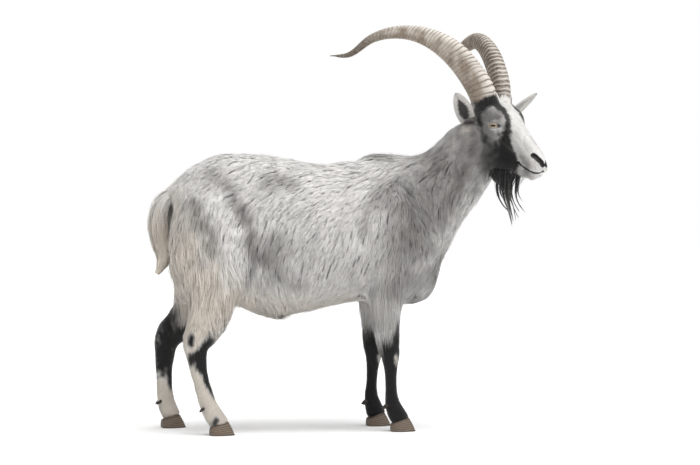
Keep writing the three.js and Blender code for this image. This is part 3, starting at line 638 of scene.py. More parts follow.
def cut_in_four(mesh, chosen):
    """Cuts the faces whose middles are chosen into four."""
    form = bmesh.new()
    form.from_mesh(mesh)
    middles = np.array([f.calc_center_median() for f in form.faces])
    pick = chosen(middles)
    edges = {edge for face, yes in zip(form.faces, pick) if yes for edge in face.edges}
    bmesh.ops.subdivide_edges(form, edges=list(edges), cuts=1, use_grid_fill=True)
    bmesh.ops.triangulate(form, faces=[f for f in form.faces if len(f.verts) > 4])
    form.to_mesh(mesh)
    form.free()


# which faces are cut, rounds of smoothing after the cut, and rounds of evening as the skin settles
for chosen, rounds, even in ((is_head, 3, 3), (is_face, 3, 3), (is_fine, 2, 2), (is_eye, 1, 2)):
    cut_in_four(skin.data, chosen)
    lines = lines_of(skin.data)
    here = chosen(points_of(skin.data)).astype(float)
    soft = relax(here, lines, 4)
    before = points_of(skin.data)
    put_points(skin.data, before + (relax(before, lines, rounds) - before) * soft[:, None])
    settle(skin.data, even, soft)
print("skin with a fine head", len(skin.data.vertices), "points")

# %% [markdown]
# A stroke presses the skin in, or raises it, along a line laid on the surface, with a soft edge.
# The line is first dropped onto the skin, so that its width is measured along the skin. Both
# halves of the head get each stroke.

# %% Sculpting strokes
DEEPEST = 14 * MM      # how deep under its edge an opening still counts as part of it
STROKE_REACH = 120 * MM  # how far from a stroke's middle the skin can feel it


def dropped(path, tree, side, count=40):
    """A line of head places on one half of the head, laid on the skin, in metres."""
    places = [on_head(np.array(p) * (1, 1, side)) for p in path]
    line = smooth_line(places, count)[0] if len(places) > 1 else np.array(places)
    return np.array([tree.find_nearest(Vector(on_goat(p)))[0] for p in line])


def far_from(points, line, ways=None):
    """Millimetres from points to a line of points, told along the skin where its ways out are given."""
    best = np.full(len(points), np.inf)
    for k, spot in enumerate(line):
        arm = points - spot
        if ways is not None:
            arm = arm - ways[k] * np.clip(arm @ ways[k], -DEEPEST, DEEPEST)[:, None]
        best = np.minimum(best, (arm ** 2).sum(1))
    return np.sqrt(best) / MM


def skin_tree():
    """A search tree over the skin as it is now."""
    return tree_over(points_of(skin.data), [f.vertices for f in skin.data.polygons])


def stroke(path, width, height):
    """Raises the skin along a line by a height in millimetres, or presses it where that is negative."""
    points, normals, tree = points_of(skin.data), normals_of(skin.data), skin_tree()
    for side in (1, -1):
        line = dropped(path, tree, side)
        close = np.where(np.linalg.norm(points - line.mean(0), axis=1) < STROKE_REACH)[0]
        lift = height * np.exp(-(far_from(points[close], line) / width) ** 2)
        if len(path) == 1 and path[0][2] == 0:
            lift /= 2  # a single dab on the middle line comes twice
        points[close] += normals[close] * lift[:, None] * MM
    put_points(skin.data, points)


# path, width and height in millimetres
SCULPT = [
    ([(58, -22, 34), (80, -20, 42), (104, -31, 42)], 8, 2.2),      # brow over the eye
    ([(98, -74, 50), (140, -68, 42), (172, -64, 34)], 9, 2.2),     # cheek bone
    ([(130, -26, 30), (180, -24, 26), (220, -26, 24)], 8, -1.6),   # hollow beside the bridge of the nose
    ([(120, -52, 46), (136, -58, 42)], 6, -1.6),                   # tear pit in front of the eye
    ([(140, -100, 42), (180, -98, 32)], 14, -1.8),                 # hollow cheek
    ([(236, -24, 28), (252, -10, 27), (270, -10, 20), (284, -18, 14)], 6, 2.4),   # rim of the nostril
    ([(226, -64, 31), (252, -54, 29), (276, -42, 19)], 8, 2.0),    # upper lip
    ([(228, -90, 22), (254, -84, 19), (276, -70, 11)], 6, 1.6),    # lower lip
    ([(272, -92, 4)], 11, 1.6),                                    # chin
    ([(246, -32, 33), (262, -30, 27)], 5, -1.0),                   # behind the nostril
    ([(-2, -64, 55), (6, -38, 56), (15, -19, 45), (12, -8, 24)], 11, 7.0),   # collar of skin at the horn
    (MOUTH, 2.8, -6.0),
    (MOUTH, 5.0, -1.0),
    (NOSTRIL, 5.4, -10.0),
    ([(274, -17, 2), (286, -28, 1), (294, -38, 1)], 1.6, -1.2),    # groove under the nose
]
# the lines of mouth and nostril, with the widths of their painted shade, are kept as they lie before they are
# pressed in
OPENINGS = []
tree = skin_tree()
for path, width in ((MOUTH, 3.2), (NOSTRIL, 8.0)):
    for side in (1, -1):
        line = dropped(path, tree, side, 60)
        OPENINGS.append((line, np.array([tree.find_nearest(Vector(p))[1] for p in line]), width))
for path, width, height in SCULPT:
    stroke(path, width, height)
print(len(SCULPT), "strokes on each half of the head")

# %% [markdown]
# A goat's eye is a ball of about 31 mm behind an almond opening, with its pupil level with the
# ground whatever the head does. Skin outside the almond is lifted just clear of the ball, which
# makes the lids with a rim, and skin inside it is pushed back behind the ball, out of sight.

# %% Eyelids
LOOK = unit([0.19, 0.33, 0.93])           # the way the right eye looks, down, out and right
OPEN_LONG, OPEN_TALL = 13.6, 6.9          # half sizes of the almond
LID_THICK, RIM_THICK = 1.1, 1.0           # how far lid and rim stand off the ball
FOLD_DEEP, POUCH_DEEP = 0.9, 0.6          # the fold over the upper lid and the one under the lower
NOT_HERE = 99.0                           # the share of points that are nowhere near the eye


def eye_axes(side):
    """The way an eye looks, its level direction and its upward direction, on the goat."""
    look = head_way(LOOK * (1, 1, side))
    level = unit(np.cross(up, look)) * side
    return look, level, unit(np.cross(look, level)) * side


def almond(points, side):
    """How far out of the eye's opening points are, as a share, and their places across, up and out."""
    arm = goat_mm(points) - on_head(EYE_AT * (1, 1, side))
    look, level, rise = eye_axes(side)
    across, tall, out = arm @ level, arm @ rise, arm @ look
    lid = np.where(tall > 0, OPEN_TALL, OPEN_TALL * 0.9)
    share = np.hypot(across / OPEN_LONG, tall / lid)
    beside = (out > -12) & (np.linalg.norm(arm, axis=1) < 40)
    return np.where(beside, share, NOT_HERE), across, tall, out


def shape_lids(side):
    """Lifts the lids off one eyeball and sinks the skin behind it."""
    points = points_of(skin.data)
    share, across, tall, out = almond(points, side)
    # points near the opening's edge slide onto it from both sides, so the rim is clean
    just_in = np.where((share > 0.9) & (share < 1), 0.985 / share, 1)
    pull = np.where((share >= 1) & (share < 1.1), 1.005 / share, just_in)
    across, tall, share = across * pull, tall * pull, share * pull
    wide = np.hypot(across, tall)
    dome = EYE_RADIUS + LID_THICK + RIM_THICK * np.exp(-((share - 1.25) / 0.2) ** 2)
    dome += np.where(tall > 0, 0.8, 0.2) * smooth_step(1.0, 1.5, share)
    bend = 0.70 * dome
    # the lid follows the ball as far as the bend, and then falls away straight
    lid = np.sqrt(np.maximum(dome ** 2 - np.minimum(wide, bend) ** 2, 0)) - np.maximum(wide - bend, 0) * 1.02
    lid -= FOLD_DEEP * np.exp(-((share - 1.75) / 0.13) ** 2) * (tall > -3)
    lid -= POUCH_DEEP * np.exp(-((share - 2.1) / 0.12) ** 2) * (tall < 0)
    soft = 3.0  # millimetres over which lid and brow run into each other
    outside = soft * np.logaddexp(out / soft, lid / soft) - 0.35 * np.exp(-np.abs(out - lid) / soft)
    outside = np.where(share < 1.5, lid, outside + (lid - outside) * smooth_step(2.2, 1.5, share))
    inside = np.sqrt(np.maximum(EYE_RADIUS ** 2 - wide ** 2, 0)) - 3.2
    height = np.where(share >= 1, outside, inside)
    look, level, rise = eye_axes(side)
    moved = across[:, None] * level + tall[:, None] * rise + height[:, None] * look
    moved += on_head(EYE_AT * (1, 1, side))
    near = share < NOT_HERE
    points[near] = on_goat(moved[near])
    put_points(skin.data, points)


for side in (1, -1):
    shape_lids(side)
print("lids open", 2 * OPEN_LONG, "by", 2 * OPEN_TALL, "mm")

# %% [markdown]
# An ear is a leaf rolled to a trough. It is too thin for the voxel wrap, so it is drawn on its own
# as two skins a few millimetres apart, closed at the rim, and joined to the head by a Boolean union
# so that skin and ears are one surface.

# %% Ears
EAR_ROOT = np.array([3.0, -107.0, 60.0])
EAR_TIP = {1: np.array([-17.0, -10.0, 172.0]), -1: np.array([-22.0, 5.0, 176.0])}
EAR_HALF_WIDTH, EAR_CUP, EAR_WALL = 27.5, 15.0, 3.4
EAR_RINGS, EAR_BENDS = 34, 22


def ear_axes(side):
    """The root, the length and three directions of an ear: along it, into its hollow and to its edge."""
    root, tip = (on_head(place * (1, 1, side)) for place in (EAR_ROOT, EAR_TIP[side]))
    along = unit(tip - root)
    hollow = unit(down_face - along * (down_face @ along))
    return root, np.linalg.norm(tip - root), along, hollow, np.cross(along, hollow)


def leaf(share):
    """Half width of the ear at a share of its length."""
    swell = np.sin(math.pi * np.clip(share, 0, 1) ** 0.80) ** 0.62
    narrow = 11 + (1.5 - 11) * share
    return narrow + (EAR_HALF_WIDTH - narrow) * swell, swell


def ear_cup(share, swell):
    """How deep the trough of the ear is at a share of its length."""
    return EAR_CUP * (0.35 + 0.65 * swell) * (1 - 0.75 * share)


def make_ear(side):
    """One ear as a closed shell."""
    root, length, along, hollow, edge = ear_axes(side)
    loops = []
    for share in np.arange(EAR_RINGS) / (EAR_RINGS - 1):
        half, swell = leaf(share)
        cup = ear_cup(share, swell)
        wall = (EAR_WALL * 1.8 + (EAR_WALL * 0.5 - EAR_WALL * 1.8) * share) / 2
        centre = root + along * (length * share - 4 * (1 - share))
        rows = []
        for sign in (-1, 1):
            row = []
            for n in range(EAR_BENDS + 1):
                across = math.sin((n / EAR_BENDS - 0.5) * math.pi)
                depth = cup * (across ** 2 - 0.5) + sign * wall * math.sqrt(max(1 - across ** 2, 0)) * 0.9
                row.append(on_goat(centre + edge * across * half + hollow * depth))
            rows.append(row)
        loops.append(rows[0] + rows[1][1:-1][::-1])
    return loft(f"ear_{side}", loops)


def unite(piece, guest):
    """Joins a closed guest to a piece as one surface, and removes the guest."""
    union = piece.modifiers.new("union", "BOOLEAN")
    union.operation, union.solver, union.object = "UNION", "MANIFOLD", guest
    bake_modifiers(piece)
    bpy.data.objects.remove(guest)


for side in (1, -1):
    before = len(skin.data.vertices)
    unite(skin, make_ear(side))
    print("ear joined", before, "->", len(skin.data.vertices), "points")
skin.data.polygons.foreach_set("use_smooth", [True] * len(skin.data.polygons))
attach(skin, "root")
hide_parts(*FLESH, "ear_right", "ear_left")

# %% [markdown]
# ## Eyes
# The ball is finer than the CAD one, with a clear bulge over the iris. Its parts are told apart by
# the material from two numbers kept on each point: places along and up the pupil.

# %% Eyeballs
BULGE, BULGE_SPREAD = 0.9, 0.62  # height of the cornea in millimetres, and its half angle
EYE_RINGS, EYE_SIDES = 64, 96


def make_eye(side, name):
    """An eyeball whose pole looks out, with the cornea's bulge."""
    look, level, rise = eye_axes(side)
    centre = on_head(EYE_AT * (1, 1, side))
    rings, sides = EYE_RINGS, EYE_SIDES
    points, across, tall = [centre + look * (EYE_RADIUS + BULGE)], [0.0], [0.0]
    for r in range(1, rings):
        polar = math.pi * (r / rings) ** 1.15
        for s in range(sides):
            turn = 2 * math.pi * s / sides
            ray = look * math.cos(polar) + math.sin(polar) * (level * math.cos(turn) + rise * math.sin(turn))
            bulge = BULGE * math.exp(-(polar / BULGE_SPREAD) ** 4)
            points.append(centre + ray * (EYE_RADIUS + bulge))
            in_front = polar < 1.6
            across.append(EYE_RADIUS * float(ray @ level) if in_front else NOT_HERE)
            tall.append(EYE_RADIUS * float(ray @ rise) if in_front else NOT_HERE)
    points.append(centre - look * EYE_RADIUS)
    across.append(NOT_HERE)
    tall.append(NOT_HERE)
    faces = [(0, 1 + s, 1 + (s + 1) % sides) for s in range(sides)]
    for r in range(rings - 2):
        a, b = 1 + r * sides, 1 + (r + 1) * sides
        faces += [(a + s, b + s, b + (s + 1) % sides, a + (s + 1) % sides) for s in range(sides)]
    last, a = len(points) - 1, 1 + (rings - 2) * sides
    faces += [(last, a + (s + 1) % sides, a + s) for s in range(sides)]
    piece = object_from(name, [on_goat(p) for p in points], faces)
    face_outward(piece)
    for label, values in (("across", across), ("tall", tall)):
        keep_number(piece.data, label, values)
    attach(piece, "root")
    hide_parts(name)
    return piece


eyes = [make_eye(side, name) for side, name in ((1, "eye_right"), (-1, "eye_left"))]
print("eyes", [len(e.data.vertices) for e in eyes])

# %% [markdown]
# ## Horns
# A billy's horn grows a ring a month or so: rounded ridges with tight grooves between them, strong
# in front near the skull and fading to the smooth tip. The horn is a sweep of 520 ovals along a
# curve, and each oval's size follows the ridges. A painted shade for each groove is kept for the colour.

# %% Horns
# the middle line of each horn, down, out and right, from inside the skull to the tip
HORN_LINES = {
    1: [(10, -43, 30), (-62, -5, 49), (-184, 14, 82), (-284, -9, 115), (-353, -54, 152),
        (-397, -118, 187), (-417, -204, 218), (-458, -260, 236)],
    -1: [(10, -46, 30), (-62, -1, 45), (-174, 21, 73), (-272, -2, 104), (-326, -69, 133),
         (-358, -133, 168), (-378, -162, 194), (-418, -184, 222)],
}
HORN_DEEP = [39, 39, 34.5, 25, 19.5, 14, 8.5, 1.6]
HORN_WIDE = [25.5, 26.5, 24, 19.5, 14.5, 10.5, 6.8, 1.4]
HORN_RINGS, HORN_SIDES = 520, 44
NEAR_THICKER, FAR_THICKER = 3.5, 0.5  # millimetres added to the depth of the right and left horn's lower half
NEAR_TIP_UP = 11
SMOOTHED = 61       # rings over which changes of thickness are evened
RIDGE_GAP = 15.0    # near the skull; they close up toward the tip
RIDGE_HIGH = 4.0
RIDGE_LEAN = 7.0    # how far the ridges run back from the front of the horn to its rear
CORNERED = 2.4      # 2 makes the section an oval, and more squares it


def make_horn(side, name):
    """One ridged horn."""
    places = [on_head(np.array(p) * (1, 1, side)) for p in HORN_LINES[side]]
    places[-1] = places[-1] + up * (NEAR_TIP_UP if side > 0 else 0)
    line, shares, length = smooth_line(places, HORN_RINGS)
    deep, wide = at_shares(HORN_DEEP, shares), at_shares(HORN_WIDE, shares)
    deep = deep + (NEAR_THICKER if side > 0 else FAR_THICKER) * (1 - smooth_step(0.3, 0.6, shares))
    kernel = np.hanning(SMOOTHED) / np.hanning(SMOOTHED).sum()
    deep, wide = (np.convolve(np.pad(v, SMOOTHED // 2, mode="edge"), kernel, "valid") for v in (deep, wide))
    end = smooth_step(0.93, 1.0, shares)
    deep, wide = deep * (1 - end) + HORN_DEEP[-1] * end, wide * (1 - end) + HORN_WIDE[-1] * end
    across = head_way(np.array([0.12, 0.3, 1.0]) * (1, 1, side))
    run = np.linspace(0, length, HORN_RINGS)
    dice = np.random.default_rng(5 + side)
    marks = [0.0]
    while marks[-1] < length + 20:
        marks.append(marks[-1] + RIDGE_GAP * (1.0 - 0.35 * marks[-1] / length) * dice.uniform(0.7, 1.25))
    marks = np.array(marks)
    strength = dice.uniform(0.55, 1.15, len(marks))
    turns = np.linspace(0, 2 * math.pi, HORN_SIDES, endpoint=False)
    rings, groove, front = [], [], []
    for i, centre in enumerate(line):
        axis = unit(line[min(i + 1, HORN_RINGS - 1)] - line[max(i - 1, 0)])
        flat = unit(across - axis * (across @ axis))
        face = np.cross(axis, flat) * side
        ring = []
        fade = 1 - smooth_step(0.45, 0.97, shares[i])
        for turn in turns:
            forward, inner = math.sin(turn), max(-math.cos(turn), 0)
            # the ridges lean back toward the rear of the horn and wave a little round it
            wave = 1.6 * math.sin(2 * turn + run[i] / 31) + 0.9 * math.sin(5 * turn + run[i] / 17)
            spot = run[i] + RIDGE_LEAN * (1 + forward) * fade + wave
            k = int(np.searchsorted(marks, spot)) - 1
            k = min(max(k, 0), len(marks) - 2)
            phase = max((spot - marks[k]) / (marks[k + 1] - marks[k]), 0)
            dome = abs(math.sin(math.pi * phase ** 0.85)) ** (0.5 + 0.6 * inner)
            amount = (0.38 + 0.4 * max(forward, 0) + 0.5 * inner) * (0.25 + 0.75 * fade) * strength[k]
            thick = min(1, deep[i] / 12)
            relief = RIDGE_HIGH * amount * (dome - 0.8) * thick
            relief += 0.16 * math.sin(spot * 2.9 + 3 * math.sin(turn)) * thick  # fine lines
            c, s = math.cos(turn), math.sin(turn)
            shape = (abs(c) ** CORNERED + abs(s) ** CORNERED) ** (-1 / CORNERED)
            out = flat * (wide[i] * shape + relief) * c + face * (deep[i] * shape + relief) * s
            ring.append(on_goat(centre + out))
            # painted shade in the grooves between the ridges; the far horn turns its front away from the
            # light, so its grooves are darker still
            groove_shade = (1 - dome) * (0.25 + 0.9 * amount)
            groove.append(float(groove_shade if side > 0 else 2.0 * groove_shade + 0.2 * fade))
            front.append(0.5 + 0.5 * forward)
        rings.append(ring)
    piece = loft(name, rings)
    for label, values in (("groove", groove), ("front", front), ("along", np.repeat(shares, HORN_SIDES))):
        keep_number(piece.data, label, values)
    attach(piece, "root")
    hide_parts(name)
    return piece


horns = [make_horn(side, name) for side, name in ((1, "horn_right"), (-1, "horn_left"))]
print("horns", [len(h.data.vertices) for h in horns])

# %% [markdown]
# ## Claws
# Each CAD claw has its sole and its top as two rings of eight corners. A smooth closed line through
# each ring, with levels between them that bulge and step like growth rings, gives the real claw. A
# dome on top reaches into the leg, so no gap shows under the hair of the coronet.

# %% Claws and dewclaws
CLAW_SIDES, CLAW_LEVELS = 56, 22
CLAW_DOME = ((2.5, 0.95), (5.0, 0.82), (7.0, 0.6))  # rise and width of the rings that reach into the leg
DEW_SMALLER = 0.72
DEW_LIFT = np.array([4.0, 0, 4.0]) * MM             # half hidden in the hair of the fetlock


def closed_line(corners, count):
    """A smooth closed line through corners, with points spread evenly round it."""
    around = np.vstack([corners[-3:], corners, corners[:3]])
    fine, shares, _ = smooth_line(around, 600)
    low, high = 3 / (len(around) - 1), (3 + len(corners)) / (len(around) - 1)
    inside = (shares >= low) & (shares < high)
    loop = fine[inside]
    run = np.concatenate([[0], np.cumsum(np.linalg.norm(np.diff(loop, axis=0), axis=1))])
    even = np.linspace(0, run[-1], count, endpoint=False)
    return np.stack([np.interp(even, run, loop[:, k]) for k in range(3)], 1)


def welded(node):
    """The corners of a CAD node, each once, in the goat's millimetres."""
    mesh = frame["nodes"][node].data
    corners = goat_mm(points_of(mesh))
    return np.unique(np.round(corners, 3), axis=0)


def make_claw(name):
    """One claw with growth rings."""
    corners = welded(name)
    rings = []
    for pick in (corners[:, 2] < 1, corners[:, 2] >= 1):
        ring = corners[pick]
        middle = ring.mean(0)
        turn = np.arctan2(ring[:, 1] - middle[1], ring[:, 0] - middle[0])
        rings.append(closed_line(ring[np.argsort(turn)], CLAW_SIDES))
    sole, top = rings
    levels, heights = [], []
    for t in np.arange(CLAW_LEVELS + 1) / CLAW_LEVELS:
        ring = sole + (top - sole) * t
        middle = ring.mean(0)
        # a slight barrel shape with growth rings, and a worn edge round the sole
        spread = 1 + 0.035 * math.sin(math.pi * t) + 0.012 * math.sin(t * 26) * (1 - t * 0.4) if t else 0.975
        levels.append(middle + (ring - middle) * (spread, spread, 1))
        heights.append(t)
    middle = top.mean(0)
    for rise, shrink in CLAW_DOME:
        levels.append(middle + (top - middle) * (shrink, shrink, 1) + (0, 0, rise))
        heights.append(1.0)
    piece = loft(name, [[on_goat(p) for p in ring] for ring in levels])
    keep_number(piece.data, "along", np.repeat(heights, CLAW_SIDES))
    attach(piece, "root")
    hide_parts(name)
    return piece


def make_dewclaw(name):
    """A dewclaw, rounded from the CAD one."""
    form = bmesh.new()
    form.from_mesh(frame["nodes"][name].data)
    bmesh.ops.remove_doubles(form, verts=form.verts, dist=1e-5)
    bmesh.ops.dissolve_limit(form, angle_limit=0.05, verts=form.verts, edges=form.edges)
    mesh = bpy.data.meshes.new(name)
    form.to_mesh(mesh)
    form.free()
    piece = in_scene(name, mesh)
    piece.modifiers.new("round", "SUBSURF").levels = 3
    bake_modifiers(piece)
    points = points_of(piece.data)
    put_points(piece.data, points.mean(0) + (points - points.mean(0)) * DEW_SMALLER + DEW_LIFT)
    piece.data.polygons.foreach_set("use_smooth", [True] * len(piece.data.polygons))
    height = points_of(piece.data)[:, 2]
    share = (height - height.min()) / (height.max() - height.min())
    keep_number(piece.data, "along", share)
    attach(piece, "root")
    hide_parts(name)
    return piece


FEET = [f"{foot}_{side}_{half}" for foot in ("fore", "hind") for side in SIDES for half in "ab"]
claws = [make_claw("claw_" + foot) for foot in FEET] + [make_dewclaw("dewclaw_" + foot) for foot in FEET]
print(len(claws), "claws and dewclaws")

# %% [markdown]
# ## An unwrap of the skin
# Baked textures need every tuft to know its own spot. The skin is unwrapped by its shape with Smart
# UV Project, and later each tuft gets a tiny patch at the place on that unwrap where it is rooted.

# %% Unwrap
def unwrap(piece):
    """A Smart UV unwrap in a map named OFBake."""
    piece.data.uv_layers.new(name="OFBake")
    for other in bpy.context.view_layer.objects:
        other.select_set(other == piece)
    bpy.context.view_layer.objects.active = piece
    bpy.ops.object.mode_set(mode="EDIT")
    bpy.ops.mesh.select_all(action="SELECT")
    bpy.ops.uv.smart_project(angle_limit=math.radians(66), island_margin=0.001)
    bpy.ops.object.mode_set(mode="OBJECT")


unwrap(skin)
print("unwrapped", len(skin.data.uv_layers["OFBake"].data), "corners")

# %% [markdown]
# ## Markings
# The coat is silver white, and everything else is painted over it in dabs: chains of balls with a
# soft, wandering edge, each in black, cream, grey or back to white. A dab gives amounts, not
# colours. The same function paints the skin and the tufts, which take the tone that lies under
# their middle, so the markings agree and black hair reaches a little over white, as on the animal.

# %% Dabs
# colour, strength, edge in mm, balls of x, out, z, radius, and the size of flecks where there are any
BODY_DABS = [
    # broad tones: painted shade greying the lower flank and ribs, and the grey of shoulder, chest and neck
    ("grey", 0.16, 60, [(-60, 140, 500, 80), (60, 150, 470, 90), (170, 130, 470, 80)]),
    ("grey", 0.66, 60, [(290, 100, 700, 60), (330, 110, 610, 90), (350, 80, 500, 100)]),
    ("grey", 0.74, 40, [(420, 80, 700, 90), (480, 70, 780, 90), (530, 20, 880, 90)]),
    ("grey", 0.60, 34, [(330, 120, 730, 30), (370, 130, 640, 36), (345, 143, 560, 40)]),
    ("grey", 0.30, 40, [(300, 30, 810, 50), (380, 30, 800, 60), (450, 0, 860, 50)]),
    ("white", 0.45, 26, [(440, 0, 872, 26), (490, 0, 930, 22)]),
    ("grey", 0.45, 26, [(270, 100, 400, 44), (262, 100, 330, 44)]),
    ("white", 0.60, 22, [(543, 79, 740, 8), (488, 79, 640, 16), (428, 84, 530, 20), (372, 120, 500, 16)]),
    ("white", 0.35, 18, [(250, 100, 790, 20), (200, 120, 730, 26)]),
    ("black", 0.30, 12, [(504, 103, 915, 6), (511, 112, 865, 8), (509, 104, 815, 8)]),
    ("grey", 0.70, 18, [(517, 93, 800, 12), (500, 96, 740, 14), (470, 100, 690, 14)]),
    ("grey", 0.80, 20, [(374, 118, 727, 10), (391, 121, 697, 10)]),
    ("grey", 0.70, 22, [(444, 86, 822, 12), (428, 88, 786, 14)]),
    ("white", 0.42, 16, [(494, 65, 868, 14), (474, 78, 826, 12)]),
    ("white", 0.40, 14, [(503, 99, 817, 10), (500, 99, 790, 10)]),
    ("black", 0.48, 18, [(560, 92, 768, 12), (545, 85, 730, 14), (528, 80, 695, 12), (506, 78, 655, 8)]),
    ("grey", 0.35, 40, [(440, 40, 560, 40), (430, 40, 470, 40)]),
    # the crease before the shoulder and the partings that fan from the neck, in painted shade
    ("black", 0.70, 10, [(306, 95, 754, 7), (324, 113, 734, 10), (342, 122, 712, 10)]),
    ("black", 0.85, 14, [(332, 113, 742, 5), (346, 126, 711, 8), (360, 132, 681, 9), (372, 134, 651, 9),
                         (384, 135, 621, 8), (396, 133, 582, 6), (409, 120, 545, 5)]),
    ("black", 0.50, 8, [(375, 99, 754, 4), (404, 117, 700, 6), (431, 112, 643, 6), (443, 106, 616, 4)]),
    ("black", 0.30, 9, [(400, 96, 754, 4), (452, 100, 650, 6)]),
    ("white", 0.30, 9, [(358, 112, 748, 4), (372, 121, 724, 5), (398, 129, 661, 6), (419, 126, 616, 5)]),
    ("black", 0.36, 13, [(284, 137, 644, 9), (262, 138, 612, 11)]),
    ("black", 0.32, 14, [(318, 143, 562, 12), (326, 144, 530, 14), (337, 141, 500, 10)]),
    ("grey", 0.75, 18, [(193, 147, 632, 8), (193, 149, 597, 10)]),
    ("black", 0.22, 14, [(215, 131, 500, 12), (236, 126, 472, 14)]),
    ("black", 0.35, 10, [(164, 140, 520, 8), (171, 120, 465, 9), (199, 95, 430, 8)]),
    # rump, loin and ribs
    ("grey", 0.85, 20, [(-243, 81, 792, 8), (-262, 76, 782, 6)]),
    ("white", 0.90, 22, [(-170, 60, 812, 12), (-60, 60, 800, 14), (60, 70, 786, 16), (160, 80, 790, 14)]),
    ("black", 0.95, 10, [(206, 34, 824, 8), (250, 33, 832, 14), (286, 33, 832, 13), (300, 36, 826, 8)]),
    ("black", 0.50, 12, [(215, 8, 836, 6), (262, 8, 842, 9), (300, 8, 842, 7)]),
    ("grey", 0.40, 36, [(-290, 90, 745, 20), (-250, 100, 748, 22)]),
    ("grey", 0.92, 20, [(-243, 84, 772, 8), (-208, 105, 744, 13), (-188, 124, 705, 16),
                        (-158, 136, 646, 19)]),
    ("grey", 0.85, 24, [(-158, 136, 646, 19), (-138, 145, 600, 22), (-132, 148, 560, 26),
                        (-118, 145, 530, 28)]),
    ("black", 0.30, 12, [(-212, 104, 748, 8), (-192, 118, 716, 9)], 12),
    ("grey", 0.62, 20, [(-95, 106, 750, 14), (-55, 108, 752, 20), (-10, 112, 746, 14)]),
    ("grey", 0.90, 20, [(-95, 106, 752, 16), (-55, 108, 756, 22), (-10, 112, 748, 16)], 15),
    ("grey", 0.60, 18, [(-30, 155, 648, 14), (24, 157, 640, 12)], 15),
    ("grey", 0.45, 16, [(-39, 133, 708, 10), (60, 135, 690, 10)], 12),
    ("grey", 0.60, 36, [(-66, 158, 570, 40), (-80, 150, 510, 36)]),
    ("black", 0.26, 14, [(-61, 146, 492, 10), (-13, 145, 484, 12), (31, 145, 486, 10)], 12),
    ("black", 0.30, 30, [(-40, 150, 600, 50), (70, 150, 590, 60), (-260, 100, 735, 30)], 7),
    # thigh, britches and tail
    ("grey", 0.70, 40, [(-350, 60, 640, 44), (-350, 80, 560, 50)]),
    ("cream", 0.72, 50, [(-370, 60, 620, 70), (-370, 80, 540, 80), (-330, 120, 450, 90),
                         (-290, 130, 380, 80)]),
    ("cream", 0.60, 40, [(-245, 150, 440, 50), (-225, 120, 390, 50)]),
    ("grey", 0.92, 22, [(-313, 136, 704, 12), (-298, 150, 670, 17), (-290, 158, 630, 24),
                        (-266, 163, 596, 22), (-250, 166, 540, 16)]),
    ("cream", 0.20, 22, [(-290, 158, 610, 24), (-262, 163, 570, 24), (-250, 166, 530, 18)]),
    ("black", 0.16, 20, [(-290, 158, 640, 16), (-255, 160, 600, 20)]),
    ("grey", 0.32, 30, [(-356, 130, 640, 24), (-350, 130, 590, 24)]),
    ("white", 0.80, 18, [(-392, 28, 722, 10), (-331, 104, 736, 14), (-270, 120, 746, 14)]),
    ("white", 0.62, 18, [(-231, 144, 704, 10), (-213, 148, 664, 15), (-198, 153, 620, 15),
                         (-210, 158, 570, 10)]),
    # painted shade in the crease between thigh and belly
    ("black", 0.75, 10, [(-160, 122, 416, 7), (-153, 130, 440, 11), (-144, 134, 466, 13),
                         (-134, 139, 492, 10)]),
    ("grey", 0.45, 16, [(-112, 134, 455, 20), (-76, 122, 420, 14)]),
    ("white", 0.80, 9, [(-118, 143, 500, 7), (-95, 127, 448, 8), (-70, 112, 410, 7), (-48, 84, 376, 6)]),
    ("grey", 0.60, 16, [(-60, 138, 470, 14), (-20, 138, 450, 16), (20, 138, 450, 12)]),
    ("grey", 0.75, 12, [(-279, 166, 536, 7), (-291, 164, 506, 9)]),
    ("white", 0.75, 14, [(-224, 164, 520, 8), (-220, 166, 470, 10), (-216, 162, 420, 10)]),
    ("cream", 0.80, 34, [(-190, 20, 400, 50), (-90, 20, 350, 66), (30, 0, 345, 66), (160, 0, 366, 60)]),
    ("grey", 0.30, 26, [(-90, 50, 366, 36), (30, 60, 362, 36), (160, 50, 376, 36)]),
    ("cream", 0.80, 40, [(-384, 0, 712, 30), (-415, 0, 640, 40), (-405, 0, 540, 50)]),
    ("black", 0.90, 12, [(348, 70, 402, 12), (382, 40, 398, 13), (412, 24, 400, 12)]),
]
